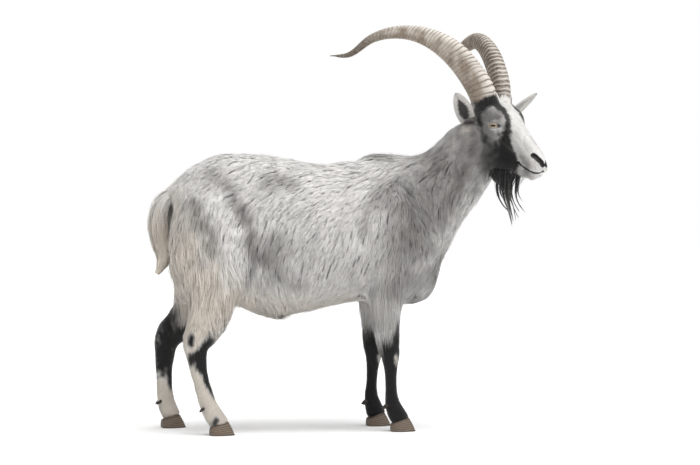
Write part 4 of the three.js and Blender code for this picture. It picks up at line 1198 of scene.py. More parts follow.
# the legs, each side with its own pattern: side, then as above
LEG_DABS = [
    ("right", "black", 1.0, 9, [(283, 92, 256, 40), (290, 90, 190, 40), (290, 90, 100, 40),
                                (305, 92, 50, 44)]),
    ("right", "black", 1.0, 9, [(322, 110, 338, 14), (310, 112, 314, 18), (302, 112, 292, 18)]),
    ("right", "cream", 0.9, 5, [(304, 112, 226, 7), (307, 108, 212, 9), (308, 104, 200, 5)]),
    ("left", "black", 1.0, 9, [(266, 106, 280, 42), (264, 107, 190, 40), (260, 108, 100, 40),
                               (275, 110, 50, 46)]),
    ("left", "cream", 0.9, 5, [(284, 88, 216, 8), (284, 92, 202, 6)]),
    ("right", "cream", 0.75, 20, [(-300, 138, 300, 50), (-295, 142, 200, 50), (-262, 150, 80, 60),
                                  (-240, 150, 30, 50)]),
    ("right", "black", 1.0, 7, [(-262, 150, 286, 16), (-274, 154, 256, 20), (-288, 154, 230, 24),
                                (-284, 154, 206, 22)]),
    ("right", "black", 1.0, 7, [(-290, 154, 242, 16), (-312, 154, 232, 14), (-318, 154, 214, 9)]),
    ("right", "black", 1.0, 6, [(-274, 154, 190, 16), (-266, 156, 160, 14), (-258, 156, 138, 12),
                                (-246, 156, 116, 9)]),
    ("right", "black", 1.0, 5, [(-316, 160, 294, 10), (-318, 162, 272, 11)]),
    ("right", "black", 0.95, 5, [(-244, 176, 46, 10), (-253, 170, 32, 8)]),
    ("left", "cream", 0.75, 20, [(-378, 136, 110, 50), (-360, 136, 40, 60)]),
    ("left", "black", 1.0, 14, [(-345, 125, 345, 34), (-368, 130, 285, 42), (-378, 132, 226, 40),
                                (-382, 133, 190, 34)]),
    ("left", "black", 1.0, 10, [(-318, 90, 312, 16), (-326, 98, 288, 26), (-338, 106, 268, 26)]),
    ("left", "black", 1.0, 6, [(-360, 124, 170, 16), (-360, 122, 140, 12), (-358, 122, 122, 8)]),
]
# colour, strength, edge, balls of down, out, right, radius, the same on both halves
HEAD_DABS = [
    ("white", 0.95, 16, [(10, -10, 0, 40), (100, -10, 0, 46), (190, -20, 0, 50), (262, -50, 0, 60)]),
    # grey of cheek, temple, jaw and lips
    ("grey", 0.80, 16, [(40, -80, 64, 34), (80, -100, 60, 38), (100, -140, 56, 36), (20, -110, 66, 30)]),
    ("grey", 0.95, 12, [(70, -95, 60, 20), (98, -124, 66, 30), (116, -150, 62, 30)]),
    ("grey", 1.0, 10, [(44, -50, 58, 22), (58, -30, 62, 20), (76, -14, 56, 13)]),
    ("black", 0.30, 14, [(47, -51, 58, 16), (58, -27, 64, 15)]),
    ("grey", 0.95, 8, [(66, -6, 50, 9), (76, -9, 52, 9)]),
    ("grey", 0.50, 8, [(96, -20, 47, 11), (118, -34, 42, 9)]),
    ("grey", 0.90, 9, [(92, -72, 56, 16), (106, -56, 50, 10)]),
    ("black", 0.30, 12, [(90, -74, 56, 14), (104, -60, 50, 8), (78, -44, 58, 6)]),
    ("grey", 0.34, 26, [(150, -44, 36, 26), (196, -52, 30, 28), (246, -52, 24, 24)]),
    ("grey", 0.62, 14, [(220, -62, 28, 14), (244, -58, 26, 12), (262, -86, 16, 16), (244, -92, 18, 16),
                        (222, -96, 20, 12)]),
    # dark behind the eye and down the cheek
    ("black", 0.96, 10, [(12, -74, 52, 17), (26, -80, 52, 15)]),
    ("black", 0.90, 11, [(36, -87, 51, 14), (63, -94, 56, 13), (84, -102, 56, 14)]),
    ("black", 0.58, 22, [(96, -112, 58, 20), (120, -138, 56, 28), (140, -170, 44, 28),
                         (150, -192, 18, 28)]),
    ("black", 0.70, 16, [(96, -100, 52, 18), (112, -126, 52, 24), (134, -164, 42, 24)]),
    ("black", 0.94, 15, [(116, -78, 44, 10), (126, -100, 40, 22), (142, -128, 30, 28),
                         (166, -150, 22, 32)]),
    # the band over the brow, with a soft lower edge
    ("black", 0.60, 11, [(2, -66, 60, 20), (22, -40, 60, 18), (40, -22, 50, 13), (66, -10, 42, 10)]),
    ("black", 1.0, 6, [(-8, -72, 56, 17), (4, -42, 58, 20), (14, -19, 46, 19), (30, -8, 34, 16),
                       (53, -4, 31, 17)]),
    ("black", 0.95, 6, [(53, -4, 31, 15), (77, -5, 30, 12), (96, -9, 31, 10), (112, -20, 37, 8)]),
    # the cheek, down to the beard
    ("black", 0.95, 7, [(112, -20, 37, 9), (128, -31, 40, 13)]),
    ("black", 1.0, 9, [(118, -54, 46, 9), (136, -66, 38, 16), (164, -74, 26, 20)]),
    ("black", 1.0, 9, [(128, -100, 36, 12), (136, -88, 32, 14), (144, -76, 28, 14)]),
    ("black", 1.0, 6, [(124, -38, 42, 10), (137, -52, 38, 18), (156, -72, 30, 20), (178, -86, 22, 23),
                       (198, -98, 20, 22)]),
    ("black", 1.0, 14, [(130, -78, 38, 12), (152, -96, 30, 26), (174, -116, 24, 36), (194, -128, 20, 34),
                          (216, -128, 18, 28), (226, -136, 14, 24)]),
    ("cream", 0.60, 10, [(30, -114, 90, 12), (52, -128, 84, 10)]),
]
PURE_BLACK, LID_TONE, EAR_TONE = np.array([1.0, 0, 0]), np.array([0.55, 0.9, 0]), np.array([0, 0.15, 0.35])
# painted shade in the hollows of the ears, deeper on the near ear
EAR_HOLLOW_SHADE = {1: 0.97, -1: 0.45}  # the far ear's hollow looks away, and takes less of the dark
AMOUNTS = {"white": (0, 0, 0), "black": (1, 0, 0), "cream": (0, 1, 0), "grey": (0, 0, 1)}


def chain_gap(places, balls):
    """Distance in mm from places to the surface of a chain of balls, negative inside."""
    best = np.full(len(places), np.inf)
    balls = np.array(balls, float)
    for a, b in zip(balls, np.vstack([balls[1:], balls[-1:]])):
        line = b[:3] - a[:3]
        t = np.clip(((places - a[:3]) @ line) / max(line @ line, 1e-9), 0, 1)
        gap = np.linalg.norm(places - a[:3] - t[:, None] * line, axis=1) - (a[3] + t * (b[3] - a[3]))
        best = np.minimum(best, gap)
    return best


def dab(marks, places, whole, colour, strength, edge, balls, seed, inside, fleck=0):
    """Paints one dab over amounts of black, cream and grey."""
    gap = chain_gap(places, balls) + edge * 0.5 * wander(whole, max(edge * 1.6, 9), seed)
    amount = strength * smooth_step(edge, -edge, gap) * inside
    if fleck:
        amount = amount * smooth_step(-0.1, 0.55, wander(whole * (1, 1, 0.55), fleck * 1.7, seed + 500))
    return marks + (np.array(AMOUNTS[colour]) - marks) * amount[:, None]


def ear_place(whole, side):
    """Shares along and across an ear, height in mm over its trough, and which places are on the ear."""
    root, length, along, hollow, edge = ear_axes(side)
    arm = whole - root
    share = arm @ along / length
    half, swell = leaf(share)
    across = (arm @ edge) / np.maximum(half, 2)
    height = arm @ hollow - ear_cup(share, swell) * (across ** 2 - 0.5)
    inside = (share > 0.0) & (share < 1.05) & (np.abs(across) < 1.3) & (np.abs(height) < 12)
    return share, across, height, inside


FLATTER = 0.45  # dabs on the body reach this much less in depth, so that hair and skin get the same


def markings(whole):
    """Amounts of black, cream and grey at places in the goat's millimetres."""
    marks = np.zeros((len(whole), 3))
    marks[:, 2] = 0.05 + 0.05 * wander(whole, 60, 70)
    rows = [("both", *row) for row in BODY_DABS] + LEG_DABS
    for seed, (half, colour, strength, edge, balls, *fleck) in enumerate(rows):
        if half == "both":
            places, inside = np.abs(whole * (0, FLATTER, 0)) + whole * (1, 0, 1), 1.0
            balls = [(x, y * FLATTER, z, radius) for x, y, z, radius in balls]
        else:
            places = whole * ((1, -1, 1) if half == "right" else (1, 1, 1))
            inside = (places[:, 1] > 0).astype(float)
        marks = dab(marks, places, whole, colour, strength, edge, balls, seed, inside, *fleck)
    face = head_mm(whole)
    below_jaw = face[:, 1] + 0.35 * np.maximum(face[:, 0] - 60, 0)
    on_face = smooth_step(-70, -40, face[:, 0]) * smooth_step(-185, -165, below_jaw)
    far_half = face[:, 2] < 0
    face[:, 2] = np.abs(face[:, 2])
    face[:, 2] -= 14 * far_half * smooth_step(150, 110, face[:, 0])  # the blaze is wider on the far half
    for seed, (colour, strength, edge, balls) in enumerate(HEAD_DABS, 100):
        marks = dab(marks, face, whole, colour, strength, edge, balls, seed, on_face)
    for side in (1, -1):
        share, across, height, inside = ear_place(whole, side)
        ear = inside & (share > 0.12)
        reach = 0.60 * np.sin(math.pi * np.clip(share / 0.84, 0, 1) ** 0.9) + 0.10 * wander(whole, 9, 90)
        # painted shade: the hollow of each ear goes dark
        hollow = smooth_step(-0.3, 0.6, height) * smooth_step(0.10, -0.10, np.abs(across) - reach)
        tone = EAR_TONE + (PURE_BLACK - EAR_TONE) * (EAR_HOLLOW_SHADE[side] * hollow)[:, None]
        marks = np.where(ear[:, None], tone, marks)
    return marks


def lip_and_lid(points, marks):
    """Adds the painted shade inside nostrils and mouth, with the dark of the lips, and the lid rims, which
    only the skin shows.
    """
    bare_and_shade = np.zeros(len(points))
    # painted shade inside the mouth and nostrils, with the dark of the lips: black along their lines, darker
    # still in the openings
    for line, ways, width in OPENINGS:
        gap = far_from(points, line, ways)
        amount = smooth_step(width + 0.7, width - 0.5, gap)
        marks = marks + (PURE_BLACK - marks) * amount[:, None]
        bare_and_shade = np.maximum(bare_and_shade, 2 * smooth_step(width + 0.4, width - 0.8, gap))
    for side in (1, -1):
        share, across, tall, out = almond(points, side)
        rim = smooth_step(1.36, 1.26, share) * (out > 0)
        marks = marks + (LID_TONE - marks) * rim[:, None]
        # a dark line over the upper lid, a thinner one all round, and a spot at the inner corner
        upper = np.exp(-((share - 1.52) / 0.14) ** 2) * smooth_step(-2, 1, tall)
        around = 0.8 * np.exp(-((share - 1.42) / 0.07) ** 2)
        corner = smooth_step(6.5, 3, np.hypot(across - OPEN_LONG - 2.5, tall))
        line = np.clip(1.15 * (upper + around) + corner, 0, 1) * (share < NOT_HERE) * (share > 1.0)
        marks = marks + (PURE_BLACK - marks) * (0.9 * line)[:, None]
        bare_and_shade = np.maximum(bare_and_shade, (share < 1.45).astype(float))
    return marks, bare_and_shade


skin_points = points_of(skin.data)
skin_mm = goat_mm(skin_points)
skin_marks, skin_bare_and_shade = lip_and_lid(skin_points, markings(skin_mm))
print("painted the skin, mean amounts", skin_marks.mean(0).round(2))
keep_colour(skin.data, "marks", np.hstack([skin_marks, np.full((len(skin_marks), 1), 0.5)]))
keep_number(skin.data, "bare_and_shade", skin_bare_and_shade)

# %% [markdown]
# ## The coat
# Tufts are thin closed spindles: a point at the root, one or two rings of three, and a point at the
# tip. Roots are spread over the skin so that each square has as many tufts as their size needs to
# cover it. Hair particles would be easier, but only solid mesh reaches the exported model.

# %% Roots
skin_normals = normals_of(skin.data)
skin_triangles = triangles_of(skin.data)
corner_of = read_rows(skin.data.loop_triangles, "loops", 3, int)
skin_uv = read_rows(skin.data.uv_layers["OFBake"].data, "uv", 2)
skin_depth = values_of(skin.data, "depth") / MM
coat_tree = tree_over(skin_mm, skin_triangles)

tri_middle = skin_mm[skin_triangles].mean(1)
tri_way, tri_sizes = comb(tri_middle)
first, second, third = skin_mm[skin_triangles].transpose(1, 0, 2)
tri_area = np.linalg.norm(np.cross(second - first, third - first), axis=1) / 2
tri_normal = unit(skin_normals[skin_triangles].sum(1))

# how many layers of tufts cover the skin: fewer where the fur is short and lies flat
cover = 1.6 + 2.3 * smooth_step(14, 36, tri_sizes[:, LENGTH])
TUFT_FILLS = 0.55   # the share of its length times its width that a tuft covers
HOOF_TOP = 24       # no tufts below this
density = cover / (TUFT_FILLS * tri_sizes[:, LENGTH] * tri_sizes[:, WIDTH])
density *= 1 - (skin_bare_and_shade[skin_triangles].max(1) > 0.4)
density *= tri_middle[:, 2] > HOOF_TOP
density *= on_tail(on_goat(tri_middle)) < 0.5
SHARE = 1.0
print("tufts wanted", int((density * tri_area).sum()))


def spread_roots():
    """Triangles and places of roots, spread by density."""
    run = np.cumsum(density * tri_area * SHARE)
    count = int(run[-1])
    pick = np.searchsorted(run, np.arange(count) + rng.random(count))
    pick = np.minimum(pick, len(run) - 1)
    a, b = rng.random(count), rng.random(count)
    over = a + b > 1
    a[over], b[over] = 1 - a[over], 1 - b[over]
    weights = np.stack([1 - a - b, a, b], 1)
    return pick, weights


root_tri, root_weights = spread_roots()
root_at = (skin_mm[skin_triangles[root_tri]] * root_weights[:, :, None]).sum(1)
root_normal = unit((skin_normals[skin_triangles[root_tri]] * root_weights[:, :, None]).sum(1))
root_uv = (skin_uv[corner_of[root_tri]] * root_weights[:, :, None]).sum(1)
root_depth = (skin_depth[skin_triangles[root_tri]] * root_weights).sum(1)
root_sizes = tri_sizes[root_tri]
print(len(root_at), "roots")

# %% [markdown]
# Long hair gathers in locks. One root in about seventeen leads a lock. The others bend
# their tips toward the tip of the nearest leader and share its length, lift, swirl and shade, so the
# coat breaks into soft points with darker partings, and reads as hair from across a room.

# %% Locks
LEADING = 0.06       # the share of roots that lead a lock
STANDING_OUT = 0.025  # the share that stand out and soften the outline
ALONG_COUNTS = 0.12  # how much distance along the hair counts, squared, in finding a lock's leader
count = len(root_at)
leaders = np.where(rng.random(count) < LEADING)[0]
lock_tree = KDTree(len(leaders))
for i, k in enumerate(leaders):
    lock_tree.insert(root_at[k], i)
lock_tree.balance()


def nearest_lock(spot, way):
    """The leader that is nearest when distance along the hair counts for a third, so that locks are long."""
    found = lock_tree.find_n(spot, 8)
    arms = np.array([f[0] for f in found]) - spot
    return found[int(np.argmin((arms ** 2).sum(1) - (1 - ALONG_COUNTS) * (arms @ way) ** 2))][1]


lock_of = np.array([nearest_lock(p, w) for p, w in zip(root_at, tri_way[root_tri])])
lock_dice = rng.random((len(leaders), 5))
own_dice = rng.random((count, 5))
print(len(leaders), "locks")


def swirl(ways, normals, angle):
    """Turns directions round the normals by an angle."""
    c, s = np.cos(angle)[:, None], np.sin(angle)[:, None]
    return ways * c + np.cross(normals, ways) * s


def flat_on(ways, normals):
    """Directions laid into the surface."""
    return unit(ways - normals * (ways * normals).sum(1)[:, None])


long_share = smooth_step(16, 44, root_sizes[:, LENGTH])
turn = (lock_dice[lock_of, 0] - 0.5) * (0.12 + 0.30 * long_share) + (own_dice[:, 0] - 0.5) * 0.26
turn += 0.28 * wander(root_at, 70, 31) * (0.35 + 0.65 * long_share)
length = root_sizes[:, LENGTH] * (0.8 + 0.4 * lock_dice[lock_of, 1]) * (0.72 + 0.6 * own_dice[:, 1])
rough = 0.25 + 0.75 * smooth_step(50, 66, root_sizes[:, LENGTH])
turn += (lock_dice[lock_of, 1] - 0.5) * 0.5 * smooth_step(54, 68, root_sizes[:, LENGTH])
lift = (1 - 0.34 * rough * lock_dice[lock_of, 2]) * (1 - 0.55 * own_dice[:, 2] * rough)
lift = np.where(own_dice[:, 2] > 1 - STANDING_OUT, 1.05 + 0.35 * long_share, lift)
curl = (lock_dice[lock_of, 4] - 0.5) * 0.7 * long_share


def ear_hairs():
    """Roots in the hollow of an ear: their hair is pale, and reaches from the rim over the hollow."""
    ways, chosen = np.zeros((count, 3)), np.zeros(count, bool)
    for side in (1, -1):
        share, across, _, inside = ear_place(root_at, side)
        _, _, along, hollow, edge = ear_axes(side)
        rim = inside & (share > 0.1) & (np.abs(across) > 0.5) & ((root_normal @ hollow) > 0.15)
        ways[rim] = 0.55 * along - np.sign(across[rim])[:, None] * edge * 0.9
        chosen |= rim
    return ways, chosen


RIM_LENGTH = 14
rim_way, at_rim = ear_hairs()
length[at_rim] = RIM_LENGTH * (0.6 + 0.8 * own_dice[at_rim, 1])
lift[at_rim] *= 2.2
root_way = tri_way[root_tri]
root_way[at_rim] = rim_way[at_rim]

# each tuft walks over the skin in steps, and its path rises from the walk by a share of the depth
STEPS = 4
HEIGHTS = [-0.12, 0.45, 0.80, 0.95, 0.92]
walk, over, path = np.empty((3, STEPS + 1, count, 3))
walk[0], over[0] = root_at, root_normal
path[0] = root_at + root_normal * np.maximum(HEIGHTS[0] * root_depth - 0.5, -2.0)[:, None]
way = swirl(flat_on(root_way, root_normal), root_normal, turn)
for step in range(1, STEPS + 1):
    reach = (length / STEPS)[:, None]
    ahead_of = walk[step - 1] + way * reach
    found = [coat_tree.find_nearest(p) for p in ahead_of]
    index = np.array([f[2] for f in found])
    walk[step] = np.array([f[0] for f in found])
    over[step] = tri_normal[index]
    high = HEIGHTS[step] * root_depth * lift
    hugging = walk[step] + over[step] * high[:, None]
    fall = unit(way * 0.6 - up * 0.8)
    hanging = path[step - 1] + fall * reach
    loose = (root_sizes[:, FREE] * step / STEPS)[:, None]
    path[step] = hugging + (hanging - hugging) * loose
    follow = np.where(at_rim, 0.0, 0.45)[:, None]
    way = swirl(flat_on(way * (1 - follow) + tri_way[index] * follow, over[step]), over[step], curl / STEPS)
print("combed", STEPS, "steps")

gather = 0.05 + 0.09 * long_share + 0.16 * smooth_step(50, 66, root_sizes[:, LENGTH])
gather *= 0.4 + 1.0 * lock_dice[lock_of, 3]
for step in range(1, STEPS + 1):
    leader_path = path[step][leaders][lock_of]
    pull = np.clip(gather * (step / STEPS) ** 1.3, 0, 0.85)[:, None]
    path[step] += (leader_path - path[step]) * pull
    arm = path[step] - path[0]
    longest = 1.15 * length * step / STEPS
    path[step] = path[0] + arm * np.minimum(1, longest / np.linalg.norm(arm, axis=1))[:, None]
# the tone of a hair is mostly that under its middle
at_root, at_middle, at_tip = (markings(walk[step]) for step in (0, STEPS // 2, STEPS))
hair_marks = np.array([at_root, (at_root + at_middle) / 2, at_middle, (at_middle + at_tip) / 2, at_tip])
hair_marks = 0.4 * at_middle + 0.6 * hair_marks


def clear_of_openings():
    """True for tufts that keep off the eyes, the nostrils and the mouth: the others are left out."""
    tips = on_goat(path[-1])
    clear = np.ones(count, bool)
    near = np.where(is_head(on_goat(root_at)))[0]
    for side in (1, -1):
        share, *_ = almond(tips[near], side)
        clear[near] &= ~(share < 1.5)
    for line, ways, width in OPENINGS:
        for level in (0, 2, 4):
            clear[near] &= far_from(on_goat(path[level][near]), line, ways) > width
    return clear


# %% [markdown]
# The tufts of one piece are built at once with arrays. Each spindle is wider than thick and rolled a
# little, so that light catches some and not others. Its shading normals lean toward the skin's
# normal: hundreds of tiny facets then shade as one soft coat, and not as noise.

# %% Spindles
PATCH = 0.003  # size of a tuft's patch on the unwrap
ROLL = 0.28    # how far tufts are rolled round their own length, in radians
CORNERS = ((-1, -0.1), (1, -0.1), (0, 0.45))  # across and out, in half widths


def spindles(name, lines, normals, widths, marks, shades, uvs, seed, blend=0.8):
    """One mesh of closed tufts along lines (levels, tufts, 3) in the goat's millimetres."""
    levels, count = lines.shape[:2]
    rings = levels - 2
    dice = np.random.default_rng(seed)
    roll = dice.normal(0, ROLL, count)
    tangent = unit(np.gradient(lines, axis=0))
    side = unit(np.cross(normals, tangent))
    lifted = np.cross(tangent, side)
    c, s = np.cos(roll)[None, :, None], np.sin(roll)[None, :, None]
    side, lifted = side * c + lifted * s, lifted * c - side * s
    per = rings * 3 + 2
    points = np.empty((count, per, 3))
    shading = np.empty((count, per, 3))
    along = np.empty((count, per))
    offsets = np.zeros((count, per, 2))
    points[:, 0], points[:, -1] = lines[0], lines[-1]
    shading[:, 0], shading[:, -1] = normals[0], normals[-1]
    along[:, 0], along[:, -1] = 0, 1
    offsets[:, -1, 1] = PATCH
    for r in range(1, rings + 1):
        t = r / (rings + 1)
        half = (widths * 0.5 * (1.25 - 0.9 * t ** 1.5 if rings > 1 else 1.0))[:, None]
        for k, (across, thick) in enumerate(CORNERS):
            v = 1 + (r - 1) * 3 + k
            out = side[r] * across * half + lifted[r] * thick * half
            points[:, v] = lines[r] + out
            shading[:, v] = unit(unit(out) * (1 - blend) + normals[r] * blend)
            along[:, v] = t
            offsets[:, v] = (across * PATCH / 2, PATCH * t)
    faces = [(0, 2, 1), (0, 3, 2), (0, 1, 3)]
    for r in range(rings - 1):
        a, b = 1 + 3 * r, 4 + 3 * r
        for k in range(3):
            n = (k + 1) % 3
            faces += [(a + k, a + n, b + n), (a + k, b + n, b + k)]
    a, tip = 1 + 3 * (rings - 1), per - 1
    faces += [(a, a + 1, tip), (a + 1, a + 2, tip), (a + 2, a, tip)]
    faces = np.array(faces)
    triangles = (np.arange(count)[:, None, None] * per + faces[None]).reshape(-1, 3)
    mesh = bpy.data.meshes.new(name)
    mesh.vertices.add(count * per)
    mesh.vertices.foreach_set("co", on_goat(points.reshape(-1, 3)).ravel())
    mesh.loops.add(len(triangles) * 3)
    mesh.loops.foreach_set("vertex_index", triangles.ravel().astype(np.int32))
    mesh.polygons.add(len(triangles))
    mesh.polygons.foreach_set("loop_start", np.arange(0, len(triangles) * 3, 3, dtype=np.int32))
    mesh.update(calc_edges=True)
    mesh.polygons.foreach_set("use_smooth", [True] * len(triangles))
    layer = mesh.uv_layers.new(name="OFBake")
    place = (uvs[:, None, :] + offsets).reshape(-1, 2)
    layer.data.foreach_set("uv", place[triangles.ravel()].ravel())
    at_rings = np.repeat(np.broadcast_to(marks, (levels, count, 3)), [1] + [3] * rings + [1], axis=0)
    at_tufts = np.broadcast_to(shades[:, None, None], (count, per, 1))
    rows = np.concatenate([at_rings.transpose(1, 0, 2), at_tufts], axis=2)
    keep_colour(mesh, "marks", rows.reshape(-1, 4))
    keep_number(mesh, "along", along.ravel())
    mesh.normals_split_custom_set_from_vertices(shading.reshape(-1, 3).tolist())
    piece = in_scene(name, mesh)
    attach(piece, "root")
    print(name, count, "tufts", len(triangles), "triangles")
    return piece


# streaks: noise that runs on along the hair and changes quickly across it
combed = tri_way[root_tri]
across_hair = root_at - combed * ((root_at - (200, 0, 600)) * combed).sum(1)[:, None] * 0.8
shade = 0.5 + 0.14 * (lock_dice[lock_of, 4] - 0.5) + 0.16 * (own_dice[:, 4] - 0.5)
shade += (0.05 + 0.11 * long_share) * wander(across_hair, 17, 44) + 0.05 * wander(root_at, 60, 45)
streaky = smooth_step(360, 430, root_at[:, 0]) + 0.7 * smooth_step(56, 68, root_sizes[:, LENGTH])
shade += 0.24 * streaky * wander(across_hair, 46, 47)
clear = clear_of_openings()
print("left out over openings", int((~clear).sum()))
on_the_head = is_head(on_goat(root_at))
near_ear = np.zeros(count, bool)
for side in (1, -1):
    share, *_, inside = ear_place(root_at, side)
    near_ear |= inside & (share > 0.1)
# the regions of the body, cut so that no piece has more than 200,000 triangles
x, y, z = root_at.T
low_leg = (z < 300) | ((z < 345) & (x < -300) & (y > 60))
thighs = (x < -130) & (z < 520) & ~low_leg
rump_hair = (x < -138) & ~thighs & ~low_leg & ~on_the_head
neck_hair = (x > 424 + (700 - z) * 0.6) & ~on_the_head & ~near_ear
chest_hair = (x > 205) & ~neck_hair & ~low_leg & ~on_the_head & ~near_ear
barrel_hair = ~(low_leg | thighs | rump_hair | neck_hair | chest_hair | on_the_head | near_ear)
REGIONS = {
    "coat_rump": (rump_hair, "pale_coat"),
    "coat_thighs": (thighs, "cream_coat"),
    "coat_barrel_right": (barrel_hair & (y < 0), "pale_coat"),
    "coat_barrel_left": (barrel_hair & (y >= 0), "pale_coat"),
    "coat_chest_right": (chest_hair & (y < 0), "grey_coat"),
    "coat_chest_left": (chest_hair & (y >= 0), "grey_coat"),
    "coat_neck": (neck_hair, "grey_coat"),
    "coat_legs": (low_leg, "leg_coat"),
    "coat_head": (on_the_head & ~near_ear, "face_coat"),
    "coat_ears": (near_ear, "ear_coat"),
}
coats = []
for seed, (name, (chosen, slot)) in enumerate(REGIONS.items()):
    levels = [0, 1, 3, 4] if name == "coat_thighs" else [0, 2, 4]  # the longest tufts bend twice
    picked = np.where(chosen & clear)[0]
    widths = root_sizes[picked, WIDTH] * (0.75 + 0.5 * own_dice[picked, 3])
    coats.append(spindles(name, path[levels][:, picked], over[levels][:, picked], widths,
                          hair_marks[levels][:, picked], shade[picked], root_uv[picked], seed=seed))

# %% [markdown]
# The tail's hair is longer than the dock that it grows on. Its strands start round the dock, swell
# out to the tail's own outline and close again below it in one soft point.

# %% The tail's hair
def on_skin(places):
    """The points of the skin nearest to places, and their spots on its unwrap."""
    found = [coat_tree.find_nearest(p) for p in places]
    uvs = [skin_uv[corner_of[index]].mean(0) for _, _, index, _ in found]
    return np.array([tuple(f[0]) for f in found]), np.array(uvs)


# ahead, up, half depth and half width of the tail's hair, from the root to the tip
TAIL_OUTLINE = [(-338, 722, 25, 24), (-374, 704, 36, 32), (-396, 668, 42, 36), (-400, 615, 45, 36),
                (-391, 562, 40, 31), (-388, 524, 29, 24), (-398, 494, 16, 14), (-409, 474, 8, 9)]
TAIL_STRANDS = 2600
FEWER = 1.0


def make_tail_hair():
    """The strands of the tail, as one piece."""
    dice = np.random.default_rng(12)
    line, shares, _ = smooth_line([(x, 0, z) for x, z, _, _ in TAIL_OUTLINE], 120)
    deep, wide = (at_shares([row[k] for row in TAIL_OUTLINE], shares) for k in (2, 3))
    amount = int(TAIL_STRANDS * FEWER)

    def on_line(place):
        """Points of the middle line at shares of its length."""
        return np.stack([np.interp(np.clip(place, 0, 1), shares, line[:, k]) for k in range(3)], 1)

    start = dice.uniform(0, 0.74, amount) ** 0.9
    reach = dice.uniform(0.24, 0.44, amount)
    turn = dice.uniform(0, 2 * math.pi, amount)
    full = dice.uniform(0.55, 1.0, amount)
    twist = dice.normal(0, 0.3, amount)
    lines, normals = [], []
    for t in np.linspace(0, 1, 6):
        place = np.clip(start + reach * t, 0, 1)
        axis = unit(on_line(place + 0.02) - on_line(place - 0.02))
        face = np.cross(axis, SIDEWAYS)
        angle = turn + twist * t
        spread = (0.42 + (full - 0.42) * min(1, 1.6 * t)) * (1 - 0.25 * t * t)
        out = SIDEWAYS * (np.cos(angle) * np.interp(place, shares, wide))[:, None]
        out = out + face * (np.sin(angle) * np.interp(place, shares, deep))[:, None]
        lines.append(on_line(place) + out * spread[:, None])
        normals.append(unit(out + np.array([0, 0, 0.01])))
    lines, normals = np.array(lines), np.array(normals)
    uvs = on_skin(lines[0])[1]
    marks = markings(lines[0])
    # painted shade in the gap between tail and rump: the side toward the rump is darkened for a hand's
    # breadth
    high = lines[3][:, 2]
    inner = smooth_step(0.5, 0.95, np.sin(turn)) * smooth_step(700, 670, high) * smooth_step(560, 600, high)
    marks = marks + (0.85 * PURE_BLACK - marks) * inner[:, None]
    shades = 0.5 + 0.2 * (dice.random(amount) - 0.5) + 0.24 * wander(lines[0] * (1, 1, 0.2), 10, 46)
    widths = dice.uniform(1.3, 2.1, amount)
    return spindles("coat_tail", lines, normals, widths, marks, shades, uvs, seed=78)


tail_hair = make_tail_hair()
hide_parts("tail")
coats.append(tail_hair)

# %% [markdown]
# Hair also grows up against the foot of each horn, and hides the line where horn leaves skull. These
# tufts stand on the ring where a horn comes out of the skin and lie along it.

# %% The hair at the foot of the horns
CROWN_LENGTH, CROWN_TUFTS = 30.0, 2600
CROWN_RISE = ((0, -0.5), (0.45, 2.0), (1.0, 0.6))  # share of a tuft's length, and height over the horn


def make_crown():
    """The tufts round the horns' feet, as one piece."""
    dice = np.random.default_rng(14)
    amount = int(CROWN_TUFTS * FEWER)
    lines, normals = [], []
    for piece in horns:
        grid = goat_mm(points_of(piece.data))[:HORN_RINGS * HORN_SIDES].reshape(HORN_RINGS, HORN_SIDES, 3)
        run = np.concatenate([[0], np.cumsum(np.linalg.norm(np.diff(grid.mean(1), axis=0), axis=1))])
        leaves = np.zeros(HORN_SIDES)  # how far along the horn each of its sides comes out of the skin
        for k in range(HORN_SIDES):
            for i in range(8, 90):
                near, way, _, _ = coat_tree.find_nearest(grid[i, k])
                if (Vector(grid[i, k]) - near).dot(way) > 0:
                    leaves[k] = run[i]
                    break
        leaves = np.median([np.roll(leaves, n) for n in (-2, -1, 0, 1, 2)], axis=0)
        angle = dice.uniform(0, HORN_SIDES, amount)
        foot = np.interp(angle, np.arange(HORN_SIDES + 1), np.append(leaves, leaves[0]))
        foot += dice.uniform(-24, 2, amount)
        long = CROWN_LENGTH * dice.uniform(0.6, 1.1, amount)
        rows, outs = [], []
        for t, high in CROWN_RISE:
            ring = np.interp(np.clip(foot + long * t, 0, None), run, np.arange(HORN_RINGS))
            a, k = ring.astype(int), (angle + dice.normal(0, 0.2, amount) * t).astype(int) % HORN_SIDES
            mix = (angle % 1)[:, None]
            place = grid[a, k] * (1 - mix) + grid[a, (k + 1) % HORN_SIDES] * mix
            out = unit(place - grid.mean(1)[a])
            rows.append(place + out * high)
            outs.append(out)
        lines.append(np.array(rows))
        normals.append(np.array(outs))
    lines, normals = np.concatenate(lines, axis=1), np.concatenate(normals, axis=1)
    feet, uvs = on_skin(lines[0])
    marks = markings(feet)
    shades = dice.uniform(0.42, 0.58, len(uvs))
    widths = dice.uniform(1.2, 2.0, len(uvs))
    return spindles("coat_crown", lines, normals, widths, marks, shades, uvs, seed=79)


coats.append(make_crown())

# %% [markdown]
# ## The beard
# The beard hangs from the chin in pointed locks. Each row below is one lock as seen from the side:
# how far ahead of the beard's middle it stands at the jaw, at a third, at two thirds and at its
# tip, how high its tip is, how many times it is drawn from the middle to the near and the far side,
# and its strands. Strands start side by side on the jaw and close on their lock as they fall.

